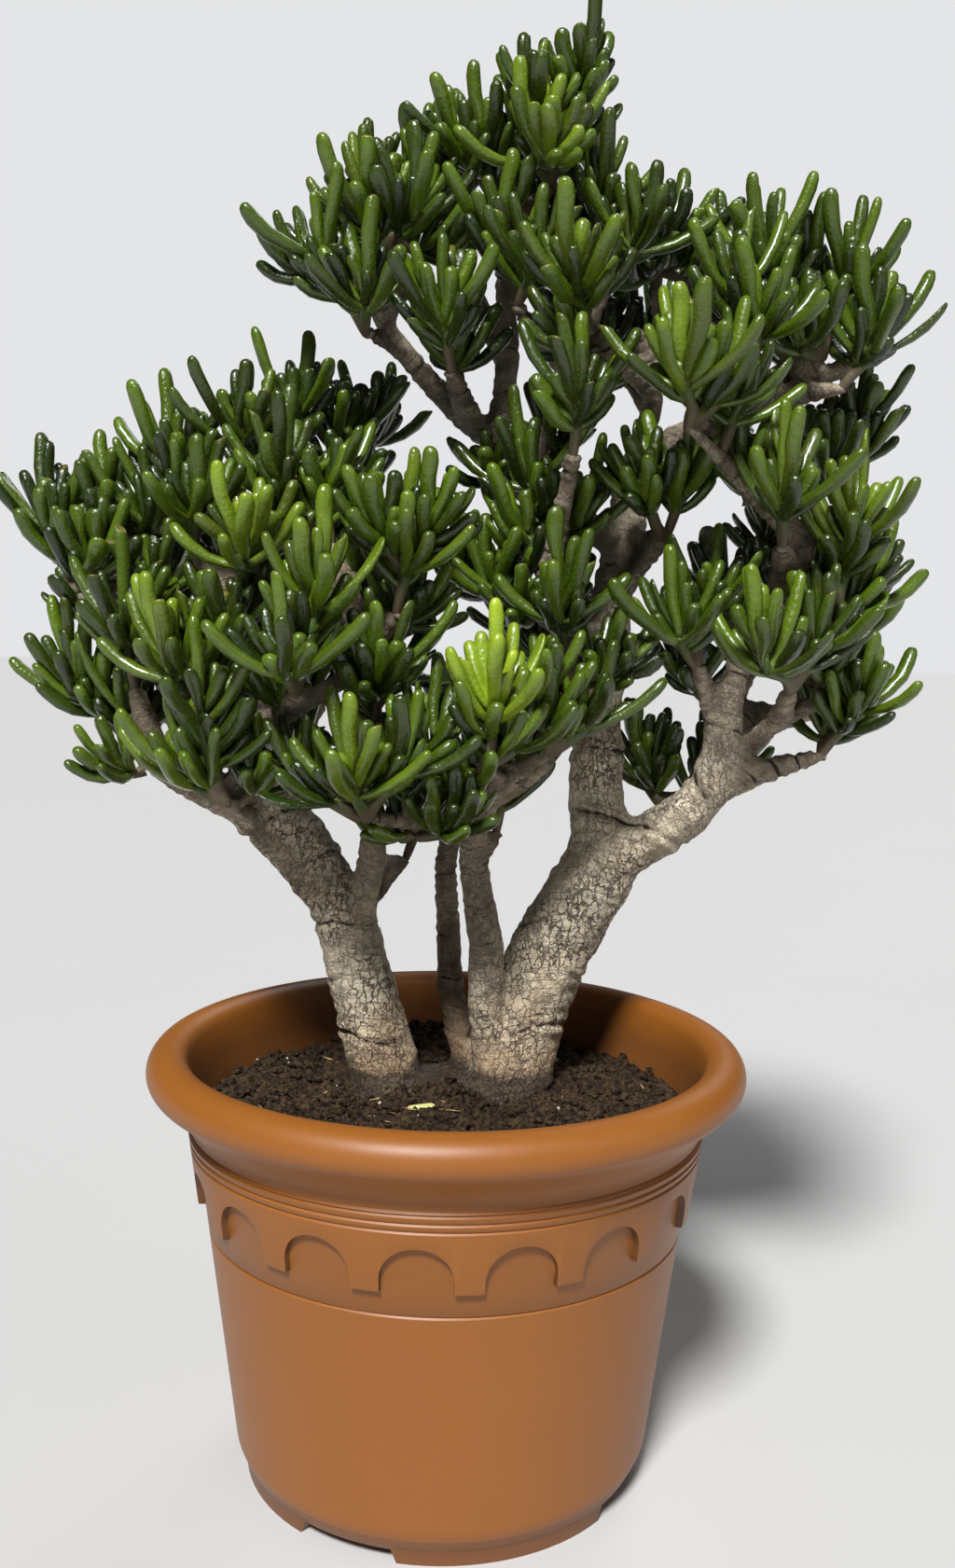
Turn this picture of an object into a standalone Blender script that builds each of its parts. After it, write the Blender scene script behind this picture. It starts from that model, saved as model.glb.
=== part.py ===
"""A finger-leaved jade plant trained as a bonsai, standing in a moulded plastic pot.

Metres, +Z up. The origin lies on the pot's axis at the level of the floor it stands on.
The tree is laid out as it is seen from EYE: each point of it is given by where it shows on the
upright plane through the pot's axis, and by how far behind that plane it really lies.
"""

import math
import random

import bmesh
import bpy
from mathutils import Matrix, Vector
from mathutils.bvhtree import BVHTree

MM = 0.001
UP = Vector((0, 0, 1))
SEED = 7

# The tree is laid out along sight lines from here
EYE = Vector((0.0, -0.84, 0.50))

# Colour and roughness of each material
PLASTIC = ((0.45, 0.17, 0.04), 0.42)
COMPOST = ((0.035, 0.022, 0.014), 0.95)
BARK = ((0.36, 0.30, 0.22), 0.85)
LEAF_SKIN = ((0.06, 0.19, 0.025), 0.30)
YELLOWED = ((0.55, 0.55, 0.18), 0.5)

# Edges sharper than this stay sharp, in degrees
SHARP = 40
SHARP_POT = 35
SHARP_SOIL = 30
SHARP_LEAF = 60

# Pot
POT_SIDES = 48
FOOT_HEIGHT = 0.007
BASE_RADIUS = 0.1178
WALL_FOOT = (0.1236, 0.022)
WALL_HEAD = (0.1462, 0.200)
WALL_THICKNESS = 0.003
FLOOR_TOP = 0.0115
BAND_BOTTOM = 0.1645
BAND_TOP = 0.200
BAND_RELIEF = 0.0028
BAND_ROUND = 0.0015
NECK_RADIUS = 0.150
NECK_HEIGHT = 0.214
LIP = (0.171, 0.2335)
RIM_RADIUS = 0.175
RIM_HEIGHT = 0.241
RIM_ROLL = (0.1705, 0.2515)
RIM_CREST = (0.161, 0.2555)
MOUTH = (0.151, 0.248)
ARCHES = 17
ARCH_FIRST = math.radians(-4.5)
ARCH_HALF = 0.0187
ARCH_LEG = 0.007
ARCH_STEPS = 6
CUT_OVER = 0.004
CUT_OUT = 0.010
GRAZE = 0.0002
FEET = 4
FOOT_STEPS = 6
FOOT_SLOPE = 0.03
FOOT_INSET = 0.0006
SUNK = 0.001
FOOT_FIRST = math.radians(19)
FOOT_ARC = math.radians(64)
FOOT_DEPTH = 0.013
DRAINS = 5
DRAIN_RADIUS = 0.006
DRAIN_CIRCLE = 0.075
DRAIN_SIDES = 8

# Soil
GAP = 0.0003
SOIL_EDGE = 0.214
SOIL_HEIGHT = 0.2165
SOIL_RINGS = (0.130, 0.103, 0.074, 0.040)
CLOD = 0.0022
MOUND = (Vector((-0.012, 0.100)), 0.018, 0.026)

# Trunks and stubs that carry no shoots
BARE_BOUGHS = ("left_trunk", "right_trunk", "sawn_knob", "sawn_stub", "high_stub")

# Root flare: its outline at the soil, as seen from above, and the heights it spans
FLARE = ((-62, 34), (-56, 13), (-39, 4), (-21, 7), (-6, 14), (9, 3), (30, -4), (52, 3),
         (66, 20), (68, 43), (54, 63), (32, 70), (10, 64), (-7, 54), (-24, 61), (-50, 57))
FLARE_LEVELS = ((0.160, 0.80), (0.205, 1.0), (0.2215, 0.97))
HOLE_FLOOR = 0.1597
HOLE_TOP = 0.300

# Boughs: sides, radius at the root and at the tip in millimetres, then the route as
# (across, height, depth) in millimetres
BOUGHS = {
    "left_trunk": (9, 23, 18, ((-33, 216, 33), (-37, 236, 32), (-44, 261, 31), (-53, 295, 28),
                                (-61, 326, 26), (-67, 341, 24))),
    "left_outer": (6, 12, 6, ((-62, 322, 26), (-87, 352, 15), (-100, 366, 8), (-116, 382, 0),
                              (-135, 394, -12), (-156, 404, -18), (-180, 420, -12))),
    "left_middle": (7, 16, 9.5, ((-63, 330, 26), (-76, 360, 18), (-88, 378, 10), (-105, 395, 2),
                                 (-117, 411, -5), (-121, 432, -8), (-124, 456, -8), (-124, 478, -5))),
    "left_top": (5, 9, 5.5, ((-124, 470, -6), (-126, 500, 0), (-130, 532, 5), (-130, 562, 8))),
    "left_inner": (6, 11, 6.5, ((-56, 322, 25), (-46, 360, 8), (-45, 380, -18), (-50, 386, -45))),
    "left_west": (5, 8, 5, ((-121, 438, -8), (-144, 450, -18), (-165, 462, -18), (-185, 482, -8),
                            (-200, 506, 6), (-208, 528, 18))),
    "left_back": (5, 9, 5, ((-86, 374, 12), (-104, 410, 40), (-110, 440, 64), (-110, 472, 84),
                            (-104, 502, 95))),
    "left_east": (5, 8, 5, ((-124, 472, -6), (-106, 496, 2), (-90, 524, 14), (-78, 558, 28),
                            (-70, 578, 42))),
    "left_front": (5, 8, 5, ((-120, 438, -8), (-100, 444, -34), (-80, 456, -52), (-57, 470, -44),
                             (-40, 486, -34))),
    "right_trunk": (10, 28, 23, ((33, 216, 33), (38, 240, 34), (46, 275, 35), (58, 305, 36),
                                 (72, 332, 36), (85, 354, 35), (92, 372, 34))),
    "right_stem": (8, 19, 10, ((90, 362, 34), (84, 398, 35), (84, 423, 36), (83, 452, 37),
                               (87, 476, 38), (90, 514, 38), (98, 556, 38), (96, 588, 36))),
    "right_crown": (5, 8, 5, ((96, 580, 36), (106, 604, 24), (111, 626, 8), (108, 648, -6),
                              (98, 664, -14))),
    "right_shelf": (5, 9, 5.5, ((96, 582, 36), (122, 606, 30), (152, 616, 20), (184, 629, 10),
                                (207, 642, 0), (222, 649, -4))),
    "right_riser": (5, 7, 5, ((148, 614, 22), (150, 638, 10), (154, 658, 0))),
    "right_back": (5, 7, 5, ((100, 592, 34), (108, 618, 56), (114, 640, 72), (120, 655, 80))),
    "upper_stem": (7, 10, 5, ((94, 545, 38), (66, 561, 44), (46, 571, 48), (31, 582, 48),
                              (22, 600, 45), (26, 630, 40), (28, 656, 35), (25, 692, 28),
                              (24, 716, 20), (31, 736, 14))),
    "upper_fork": (5, 7, 5, ((27, 644, 38), (10, 679, 30), (-2, 697, 28), (-12, 706, 28))),
    "upper_left": (6, 9, 5, ((22, 600, 45), (-1, 619, 40), (-22, 640, 30), (-41, 663, 20),
                             (-50, 680, 14))),
    "upper_right": (5, 7.5, 5, ((38, 576, 48), (52, 612, 34), (62, 634, 12), (64, 642, -8))),
    "arm": (7, 18, 10, ((88, 362, 34), (116, 377, 26), (138, 391, 15), (150, 406, 8),
                        (156, 424, 3), (157, 442, 0), (160, 466, -8))),
    "arm_riser": (5, 9, 5.5, ((159, 458, -6), (168, 490, -14), (183, 518, -18), (199, 538, -18),
                              (203, 556, -14))),
    "arm_shelf": (5, 8, 5, ((154, 418, 4), (168, 428, 5), (183, 442, 5), (198, 451, 0),
                            (214, 459, -4))),
    "arm_back": (5, 8, 5, ((122, 379, 24), (140, 400, 50), (150, 430, 74), (164, 460, 85),
                           (180, 494, 90), (186, 524, 95))),
    "centre_stem": (7, 14, 6, ((28, 240, 28), (23, 275, 18), (22, 308, 12), (17, 338, 7),
                               (13, 358, 4), (12, 374, 0), (18, 391, -8), (25, 404, -16),
                               (28, 422, -28))),
    "centre_fork": (5, 6.5, 5, ((21, 396, -11), (42, 408, -18), (58, 424, -26))),
    "rear_stem": (6, 10, 5, ((12, 232, 50), (1, 285, 58), (-1, 324, 62), (-3, 357, 64),
                             (2, 390, 72), (14, 424, 84), (34, 452, 94))),
    "middle": (5, 7, 5, ((88, 488, 38), (70, 500, 16), (55, 514, 0), (48, 534, -4))),
    "sawn_knob": (5, 7.5, 7, ((-122, 446, -8), (-112, 450, -22))),
    "sawn_stub": (5, 6.5, 6, ((136, 390, 15), (131, 399, 3))),
    "high_stub": (5, 6, 5.5, ((196, 636, 6), (193, 646, -6))),
}

# Leafy shoots: the heads of each as (across, height, depth in millimetres, leafy levels)
SHOOTS = (
    ((-230, 546, 30, 2), (-204, 522, 0, 1)),
    ((-197, 556, 60, 1), (-171, 548, 20, 1)),
    ((-161, 585, 15, 1), (-148, 555, -20, 1)),
    ((-121, 533, -50, 2), (-98, 576, -24, 1)),
    ((-123, 600, 10, 2), (-90, 612, 40, 1)),
    ((-68, 600, 50, 1), (-48, 600, 80, 1)),
    ((-75, 570, -30, 1),),
    ((-28, 532, -60, 2),),
    ((-44, 470, -60, 1),),
    ((-79, 510, -85, 2), (-96, 468, -95, 1)),
    ((-162, 468, -60, 2), (-130, 492, -45, 1)),
    ((-150, 406, -60, 2), (-145, 440, -75, 1)),
    ((-215, 455, -5, 2), (-185, 442, -20, 1)),
    ((-188, 492, -35, 1),),
    ((-56, 402, -95, 2), (-30, 412, -80, 1)),
    ((-120, 520, 110, 2), (-85, 545, 120, 1)),
    ((-170, 490, 80, 1),),
    ((-90, 460, 95, 1), (-50, 482, 110, 1)),
    ((-75, 698, 0, 1), (-52, 674, -20, 1)),
    ((-52, 717, 10, 2), (-27, 722, -10, 1)),
    ((-13, 728, 30, 1),),
    ((-8, 666, -30, 1),),
    ((-60, 700, 80, 1), (-25, 735, 85, 1)),
    ((40, 756, -10, 2), (57, 765, 20, 2)),
    ((12, 757, 20, 1), (35, 748, 60, 1)),
    ((21, 716, -10, 1), (40, 694, -22, 1)),
    ((75, 728, 5, 1), (98, 708, -20, 1)),
    ((65, 690, -50, 2),),
    ((115, 712, 20, 1), (105, 700, 65, 1)),
    ((68, 624, -60, 1),),
    ((128, 638, -90, 2), (146, 626, -72, 1)),
    ((155, 684, -50, 1), (172, 664, -50, 1)),
    ((170, 702, -10, 1), (195, 692, 20, 2)),
    ((192, 656, -20, 1), (218, 688, 0, 1)),
    ((234, 658, -20, 2),),
    ((228, 616, 30, 1), (203, 586, 30, 1)),
    ((150, 692, 90, 2), (190, 662, 80, 1)),
    ((65, 668, 75, 1), (110, 652, 98, 1)),
    ((186, 572, -68, 2),),
    ((229, 555, -30, 2), (233, 512, -20, 1)),
    ((180, 478, -80, 2), (210, 488, -45, 1)),
    ((237, 456, -10, 2), (216, 444, 12, 1)),
    ((146, 508, -20, 1), (130, 492, -40, 1)),
    ((110, 414, 85, 2), (155, 414, 84, 1)),
    ((165, 492, 72, 1),),
    ((200, 522, 85, 1),),
    ((215, 457, 75, 1), (228, 492, 60, 1)),
    ((23, 448, -80, 2), (36, 428, -70, 1)),
    ((48, 457, -60, 1), (78, 442, -46, 1)),
    ((60, 505, -40, 2),),
    ((20, 517, 0, 1), (42, 547, -12, 1)),
    ((70, 554, 0, 1), (40, 577, 0, 1)),
    ((128, 576, -20, 1),),
    ((30, 404, 16, 1),),
    ((-18, 386, 52, 1),),
    ((40, 492, 96, 1), (80, 472, 110, 1)),
)

# Shoots: square green stems on the ends of woody twigs
TWIG_HALF = 0.0038
TWIG_SHORTEST = 0.010
TWIG_START = 0.013
TWIG_LEAN = 0.45
TWIG_SLIM = (0.7, 0.0012)
AHEAD_WISH = 0.6
AWAY_COST = 0.12
CLIMB_WISH = 0.012
HIGH_COST = 2.0
STEM_FOOT = 0.0026
STEM_HALF = 0.0034
STEM_TIP = 0.0030
NECK = 0.009
SIDE_START = 0.0046
HEAD_FOOT = 0.0041
LINK_LEAST = 0.009
SHOOT_LENGTH = 0.026
SHOOT_LEAN = (0.7, 0.6)
HEAD_LEAN = (0.55, 0.75)
SHOOT_TURNS = [math.radians(turn) for turn in (0, 25, -25, 50, -50, 80, -80)]
SHOOT_STRETCHES = (1.0, 0.85, 1.2, 0.7)
SHOOT_ROOTS = 14
HEAD_STEP = 0.0065
TWIST = math.radians(30)
SHARED = 0.00001

# Leaves: fingers with blunt tips, the rises saying how far up the head each turns
LEAF_LENGTH = 0.051
LEAF_WIDTH = 0.0049
LEAF_THICKNESS = 0.0038
LEAF_RINGS = ((0.15, 0.66), (0.46, 0.92), (0.86, 1.0))
LEAF_SIZES = (0.86, 1.16)
LEAF_THICKS = (0.90, 1.08)
LEAF_LIFTS = (0.5, 1.0)
LEAF_AT_FOOT = 1.05
LEAF_SHORTER = 0.08
NEARLY_UPRIGHT = 0.05
LEAF_CLEAR = 0.0006
LEAF_SLIM = (0.7, 0.001)
LEAF_TRIALS = 35
TRIAL_TURNS = [math.radians(turn) for turn in (0, 9, -9, 18, -18, 27, -27)]
TRIAL_RISE = 0.15
TRIAL_SHRINK = 0.07
LOW_RISE = 0.30
MIDDLE_RISE = 0.70
HIGH_RISE = 1.10
TOP_RISE = 1.0

# Fallen leaf on the soil
FALLEN_AT = Vector((-0.012, -0.020))
FALLEN_LENGTH = 0.021
FALLEN_TURN = math.radians(-4)
FALLEN_WIDTH = 0.0064
FALLEN_THICKNESS = 0.0036
FALLEN_RINGS = ((-0.5, 0.45), (-0.3, 0.9), (0.15, 1.0), (0.42, 0.7), (0.5, 0.35))
FLAT_SPOT = 0.046
ROUGHENS = 3.0


def placed(across, height, depth):
    """The point seen at (across, height) from EYE and really `depth` behind the middle plane."""
    seen = Vector((across * MM, 0.0, height * MM))
    reach = (depth * MM - EYE.y) / -EYE.y
    return EYE + (seen - EYE) * reach


def clear_scene():
    """Remove whatever the scene holds."""
    for item in list(bpy.data.objects):
        bpy.data.objects.remove(item, do_unlink=True)


def material(name, colour, roughness):
    """A Principled material of one colour."""
    made = bpy.data.materials.new(name)
    made.use_nodes = True
    shader = made.node_tree.nodes["Principled BSDF"]
    shader.inputs["Base Color"].default_value = (*colour, 1.0)
    shader.inputs["Roughness"].default_value = roughness
    shader.inputs["Metallic"].default_value = 0.0
    return made


def split_quads(bm, faces):
    """Split four-sided faces the way that the clearance tests split them."""
    quads = [face for face in faces if len(face.verts) == 4]
    bmesh.ops.triangulate(bm, faces=quads, quad_method="FIXED")


def finish(name, bm, finish_material, parent, sharp=SHARP):
    """Turn a bmesh into a named object under `parent`, smooth but for its sharp edges."""
    bmesh.ops.recalc_face_normals(bm, faces=bm.faces)
    mesh = bpy.data.meshes.new(name)
    bm.to_mesh(mesh)
    bm.free()
    mesh.shade_smooth()
    mesh.set_sharp_from_angle(angle=math.radians(sharp))
    item = bpy.data.objects.new(name, mesh)
    bpy.context.scene.collection.objects.link(item)
    if finish_material:
        mesh.materials.append(finish_material)
    item.parent = parent
    return item


def loft(bm, rings):
    """Skin closed rings of points in turn and cap both ends; give back the faces by segment."""
    made = [[bm.verts.new(point) for point in ring] for ring in rings]
    sides = []
    for low, high in zip(made, made[1:]):
        turns = [(i, (i + 1) % len(low)) for i in range(len(low))]
        sides.append([bm.faces.new((low[i], low[j], high[j], high[i])) for i, j in turns])
    bm.faces.new(list(reversed(made[0])))
    bm.faces.new(made[-1])
    return sides


def circle(radius, height, sides, centre=(0.0, 0.0)):
    """A level ring of points."""
    angles = [math.tau * i / sides for i in range(sides)]
    return [Vector((centre[0] + radius * math.cos(a), centre[1] + radius * math.sin(a), height))
            for a in angles]


def combine(item, others, operation):
    """Join the others to the item, or cut them out of it, and remove them."""
    group = bpy.data.collections.new(item.name + "_with")
    bpy.context.scene.collection.children.link(group)
    for other in others:
        bpy.context.scene.collection.objects.unlink(other)
        group.objects.link(other)
    joint = item.modifiers.new("combine", "BOOLEAN")
    joint.operation = operation
    joint.operand_type = "COLLECTION"
    joint.collection = group
    joint.solver = "EXACT"
    graph = bpy.context.evaluated_depsgraph_get()
    mesh = bpy.data.meshes.new_from_object(item.evaluated_get(graph))
    item.modifiers.remove(joint)
    item.data = mesh
    for other in others:
        bpy.data.objects.remove(other, do_unlink=True)
    bpy.data.collections.remove(group)


def wall_radius(height):
    """Outer radius of the pot's plain wall at a height."""
    share = (height - WALL_FOOT[1]) / (WALL_HEAD[1] - WALL_FOOT[1])
    return WALL_FOOT[0] + share * (WALL_HEAD[0] - WALL_FOOT[0])


def inner_radius(height):
    """Inner radius of the pot's wall at a height."""
    return wall_radius(height) - WALL_THICKNESS


def seen_angle(angle):
    """Turn an angle counted from the front towards +X into one counted from +X."""
    return angle - math.pi / 2


def pot_profile():
    """Radius and height from the underside up the wall, over the rim and down to the floor."""
    return [
        (BASE_RADIUS, FOOT_HEIGHT),
        WALL_FOOT,
        (wall_radius(BAND_BOTTOM), BAND_BOTTOM),
        (wall_radius(BAND_BOTTOM) + BAND_RELIEF, BAND_BOTTOM + BAND_ROUND / 2),
        (wall_radius(BAND_TOP) + BAND_RELIEF, BAND_TOP),
        (wall_radius(BAND_TOP) + BAND_ROUND, BAND_TOP + BAND_ROUND),
        (NECK_RADIUS, NECK_HEIGHT),
        LIP,
        (RIM_RADIUS, RIM_HEIGHT),
        RIM_ROLL,
        RIM_CREST,
        MOUTH,
        (inner_radius(NECK_HEIGHT), NECK_HEIGHT),
        (inner_radius(FLOOR_TOP), FLOOR_TOP),
    ]


def arch_cutter(number):
    """A curved block that clears one arched opening down to the plain wall."""
    bm = bmesh.new()
    middle = seen_angle(ARCH_FIRST + math.tau * number / ARCHES)
    low = BAND_BOTTOM - CUT_OVER
    rings = []
    for step in range(ARCH_STEPS + 1):
        turn = math.pi * step / ARCH_STEPS
        top = BAND_BOTTOM + ARCH_LEG + ARCH_HALF * math.sin(turn)
        angle = middle - ARCH_HALF * math.cos(turn) / wall_radius(BAND_BOTTOM)
        side = Vector((math.cos(angle), math.sin(angle), 0))
        ring = [side * (wall_radius(height) + proud) + UP * height
                for height, proud in ((low, GRAZE), (low, CUT_OUT), (top, CUT_OUT), (top, GRAZE))]
        rings.append(ring)
    loft(bm, rings)
    return finish(f"arch_{number}", bm, None, None)


def foot_block(number):
    """One wide foot under the pot's edge, its ends sloping."""
    bm = bmesh.new()
    middle = seen_angle(FOOT_FIRST + math.tau * number / FEET)
    top = FOOT_HEIGHT + SUNK
    outer = BASE_RADIUS - FOOT_INSET
    rings = []
    for step in range(FOOT_STEPS + 1):
        share = 2.0 * step / FOOT_STEPS - 1.0
        low_angle = middle + share * (FOOT_ARC / 2 - FOOT_SLOPE)
        high_angle = middle + share * FOOT_ARC / 2
        low_side = Vector((math.cos(low_angle), math.sin(low_angle), 0))
        high_side = Vector((math.cos(high_angle), math.sin(high_angle), 0))
        rings.append([low_side * (outer - FOOT_DEPTH), low_side * outer,
                      high_side * outer + UP * top, high_side * (outer - FOOT_DEPTH) + UP * top])
    loft(bm, rings)
    return finish(f"foot_{number}", bm, None, None)


def drain_cutter(number):
    """A plug that opens one drain hole in the floor."""
    bm = bmesh.new()
    angle = math.tau * (number + 0.5) / DRAINS
    centre = (DRAIN_CIRCLE * math.cos(angle), DRAIN_CIRCLE * math.sin(angle))
    loft(bm, [circle(DRAIN_RADIUS, FOOT_HEIGHT - CUT_OVER, DRAIN_SIDES, centre),
              circle(DRAIN_RADIUS, FLOOR_TOP + CUT_OVER, DRAIN_SIDES, centre)])
    return finish(f"drain_{number}", bm, None, None)


def make_pot(parent):
    """The moulded pot: wall, rolled rim, arch band, feet and drain holes."""
    bm = bmesh.new()
    loft(bm, [circle(radius, height, POT_SIDES) for radius, height in pot_profile()])
    pot = finish("pot", bm, material("pot_plastic", *PLASTIC), parent, SHARP_POT)
    combine(pot, [foot_block(i) for i in range(FEET)], "UNION")
    cutters = [arch_cutter(i) for i in range(ARCHES)] + [drain_cutter(i) for i in range(DRAINS)]
    combine(pot, cutters, "DIFFERENCE")
    return pot


def flare_ring(height, scale, grow=0.0):
    """The root flare's outline at a height, scaled about its middle and grown outwards."""
    points = [Vector((x * MM, y * MM)) for x, y in FLARE]
    centre = sum(points, Vector((0, 0))) / len(points)
    ring = []
    for i, point in enumerate(points):
        along = (points[(i + 1) % len(points)] - points[i - 1]).normalized()
        outward = Vector((along.y, -along.x))
        moved = centre + (point - centre) * scale + outward * grow
        ring.append(Vector((moved.x, moved.y, height)))
    return ring


def soil_height(x, y, draw):
    """Height of the soil's crumbly top at a place."""
    spot, rise, spread = MOUND
    here = Vector((x, y))
    mound = rise * math.exp(-((here - spot).length / spread) ** 2)
    rough = min(1.0, max(0.0, (here - FALLEN_AT).length / FLAT_SPOT - 1.0) * ROUGHENS)
    return SOIL_HEIGHT + mound + CLOD * draw.uniform(-1, 1) * rough


def make_soil(parent):
    """Soil that fills the pot, with a plain hole for the wood."""
    draw = random.Random(SEED)
    low = FLOOR_TOP + GAP
    rings = [circle(inner_radius(low) - GAP, low, POT_SIDES),
             circle(inner_radius(SOIL_EDGE) - GAP, SOIL_EDGE, POT_SIDES)]
    for radius in SOIL_RINGS:
        ring = circle(radius, 0.0, POT_SIDES)
        rings.append([Vector((p.x, p.y, soil_height(p.x, p.y, draw))) for p in ring])
    bm = bmesh.new()
    loft(bm, rings)
    soil = finish("soil", bm, material("compost", *COMPOST), parent, SHARP_SOIL)
    bm = bmesh.new()
    wide = FLARE_LEVELS[1]
    loft(bm, [flare_ring(HOLE_FLOOR, FLARE_LEVELS[0][1], GAP), flare_ring(wide[0], wide[1], GAP),
              flare_ring(HOLE_TOP, wide[1], GAP)])
    combine(soil, [finish("hole", bm, None, None)], "DIFFERENCE")
    return soil


def frames(points):
    """A direction and two cross directions at each point of a route, without needless turn."""
    ways = []
    for i in range(len(points)):
        before = points[max(i - 1, 0)]
        after = points[min(i + 1, len(points) - 1)]
        ways.append((after - before).normalized())
    across = ways[0].orthogonal().normalized()
    result = []
    for way in ways:
        across = (across - way * across.dot(way)).normalized()
        result.append((way, across, way.cross(across)))
    return result


def tube_rings(points, radii, sides):
    """Rings of a round tube along a route."""
    rings = []
    for point, radius, (_, across, over) in zip(points, radii, frames(points)):
        angles = [math.tau * i / sides for i in range(sides)]
        rings.append([point + (across * math.cos(a) + over * math.sin(a)) * radius for a in angles])
    return rings


def lengths_along(points):
    """How far along the route each point lies, from 0 to 1."""
    steps = [0.0]
    for first, second in zip(points, points[1:]):
        steps.append(steps[-1] + (second - first).length)
    return [step / steps[-1] for step in steps]


def bough_route(name):
    """World points and radii of one bough."""
    _, root, tip, route = BOUGHS[name]
    points = [placed(*place) for place in route]
    radii = [(root + (tip - root) * share) * MM for share in lengths_along(points)]
    return points, radii


def bough_rings(name):
    """Rings of one bough."""
    points, radii = bough_route(name)
    return tube_rings(points, radii, BOUGHS[name][0])


def bough_faces():
    """Every side face that a twig may grow from, as bough, segment, side and its corners."""
    faces = []
    for name, (sides, _, _, _) in BOUGHS.items():
        if name in BARE_BOUGHS:
            continue
        rings = bough_rings(name)
        for segment in range(len(rings) - 1):
            low, high = rings[segment], rings[segment + 1]
            for i in range(sides):
                j = (i + 1) % sides
                faces.append(((name, segment, i), [low[i], low[j], high[j], high[i]]))
    return faces


def suited(faces, target):
    """The faces as key, corners and normal, in the order in which they suit a twig to `target`."""
    ranked = []
    for key, outline in faces:
        normal = facing_of(outline)
        reach = target - sum(outline, Vector()) / 4
        turned_away = max(0.0, AHEAD_WISH - normal.dot(reach.normalized()))
        too_high = max(0.0, CLIMB_WISH - reach.z)
        cost = reach.length + turned_away * AWAY_COST + too_high * HIGH_COST
        ranked.append((cost, key, outline, normal))
    ranked.sort(key=lambda item: item[0])
    return [item[1:] for item in ranked]


def skin(rings, tip=None):
    """Points and faces of lofted rings, closed at both ends or at a tip."""
    points = [point for ring in rings for point in ring]
    sides = len(rings[0])
    last = (len(rings) - 1) * sides
    faces = [tuple(range(sides))]
    for low in range(0, last, sides):
        for i in range(sides):
            j = (i + 1) % sides
            faces.append((low + i, low + j, low + sides + j))
            faces.append((low + i, low + sides + j, low + sides + i))
    if tip is None:
        faces.append(tuple(range(last, last + sides)))
    else:
        faces += [(last + i, last + (i + 1) % sides, len(points)) for i in range(sides)]
        points.append(tip)
    return points, faces


class Solid:
    """A closed skin of rings, kept for clearance tests."""

    def __init__(self, rings, tip=None, owner=None):
        self.points, self.faces = skin(rings, tip)
        self.low = [min(p[i] for p in self.points) for i in range(3)]
        self.high = [max(p[i] for p in self.points) for i in range(3)]
        self.owner = owner
        self.kept_tree = None

    @property
    def tree(self):
        """The skin's search tree, made when it is first asked for."""
        if self.kept_tree is None:
            self.kept_tree = BVHTree.FromPolygons(self.points, self.faces)
        return self.kept_tree

    def crosses(self, other):
        """Whether the two skins cross, faces that meet at a shared corner aside."""
        if any(other.low[i] > self.high[i] or other.high[i] < self.low[i] for i in range(3)):
            return False
        for mine, theirs in self.tree.overlap(other.tree):
            here = [self.points[i] for i in self.faces[mine]]
            there = [other.points[i] for i in other.faces[theirs]]
            if not any((a - b).length < SHARED for a in here for b in there):
                return True
        return False


def is_sound(rings, tip=None):
    """Whether a skin of rings doesn't cross itself."""
    points, faces = skin(rings, tip)
    tree = BVHTree.FromPolygons(points, faces)
    return not any(first < second and not set(faces[first]) & set(faces[second])
                   for first, second in tree.overlap(tree))


class Space:
    """What already fills the room that shoots and leaves grow into."""

    def __init__(self):
        self.solids = []

    def add(self, rings, tip=None, owner=None):
        """Note a solid made of rings, and what it belongs to."""
        self.solids.append(Solid(rings, tip, owner))

    def is_free(self, rings, tip=None, but_for=()):
        """Whether a solid would cross nothing but what belongs to an owner in `but_for`."""
        solid = Solid(rings, tip)
        return not any(solid.crosses(other) for other in self.solids
                       if other.owner not in but_for)


def facing_of(ring):
    """The direction that a ring of corners faces."""
    return (ring[1] - ring[0]).cross(ring[3] - ring[0]).normalized()


def swung(start, end, edge):
    """An edge swung with the turn from one facing to another, and made square to the last."""
    across = start.rotation_difference(end) @ edge
    return (across - end * across.dot(end)).normalized()


def corners(centre, across, over, half_across, half_over):
    """Four corners round a centre, anticlockwise as seen from the end."""
    signs = ((1, 1), (-1, 1), (-1, -1), (1, -1))
    return [centre + across * half_across * a + over * half_over * b for a, b in signs]


def matched(outline, ring):
    """The ring's corners in the order that follows the corners of an outline round a bend."""
    middle = sum(outline, Vector()) / 4
    centre = sum(ring, Vector()) / 4
    turn = facing_of(ring).rotation_difference(facing_of(outline))
    arms = [(turn @ (point - centre)).normalized() for point in ring]

    def likeness(shift):
        return sum((corner - middle).normalized().dot(arms[(i + shift) % 4])
                   for i, corner in enumerate(outline))

    best = max(range(4), key=likeness)
    return [ring[(i + best) % 4] for i in range(4)]


def extend(bm, face, ring):
    """Grow a face out to four new corners; give back the new side faces and the end face."""
    old = list(face.verts)
    ring = matched([vert.co for vert in old], ring)
    bm.faces.remove(face)
    new = [bm.verts.new(point) for point in ring]
    sides = [bm.faces.new((old[i], old[(i + 1) % 4], new[(i + 1) % 4], new[i])) for i in range(4)]
    return sides, bm.faces.new(new)


def close_tip(bm, face, tip):
    """Close a face to a point."""
    old = list(face.verts)
    bm.faces.remove(face)
    point = bm.verts.new(tip)
    for i in range(4):
        bm.faces.new((old[i], old[(i + 1) % 4], point))


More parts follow.
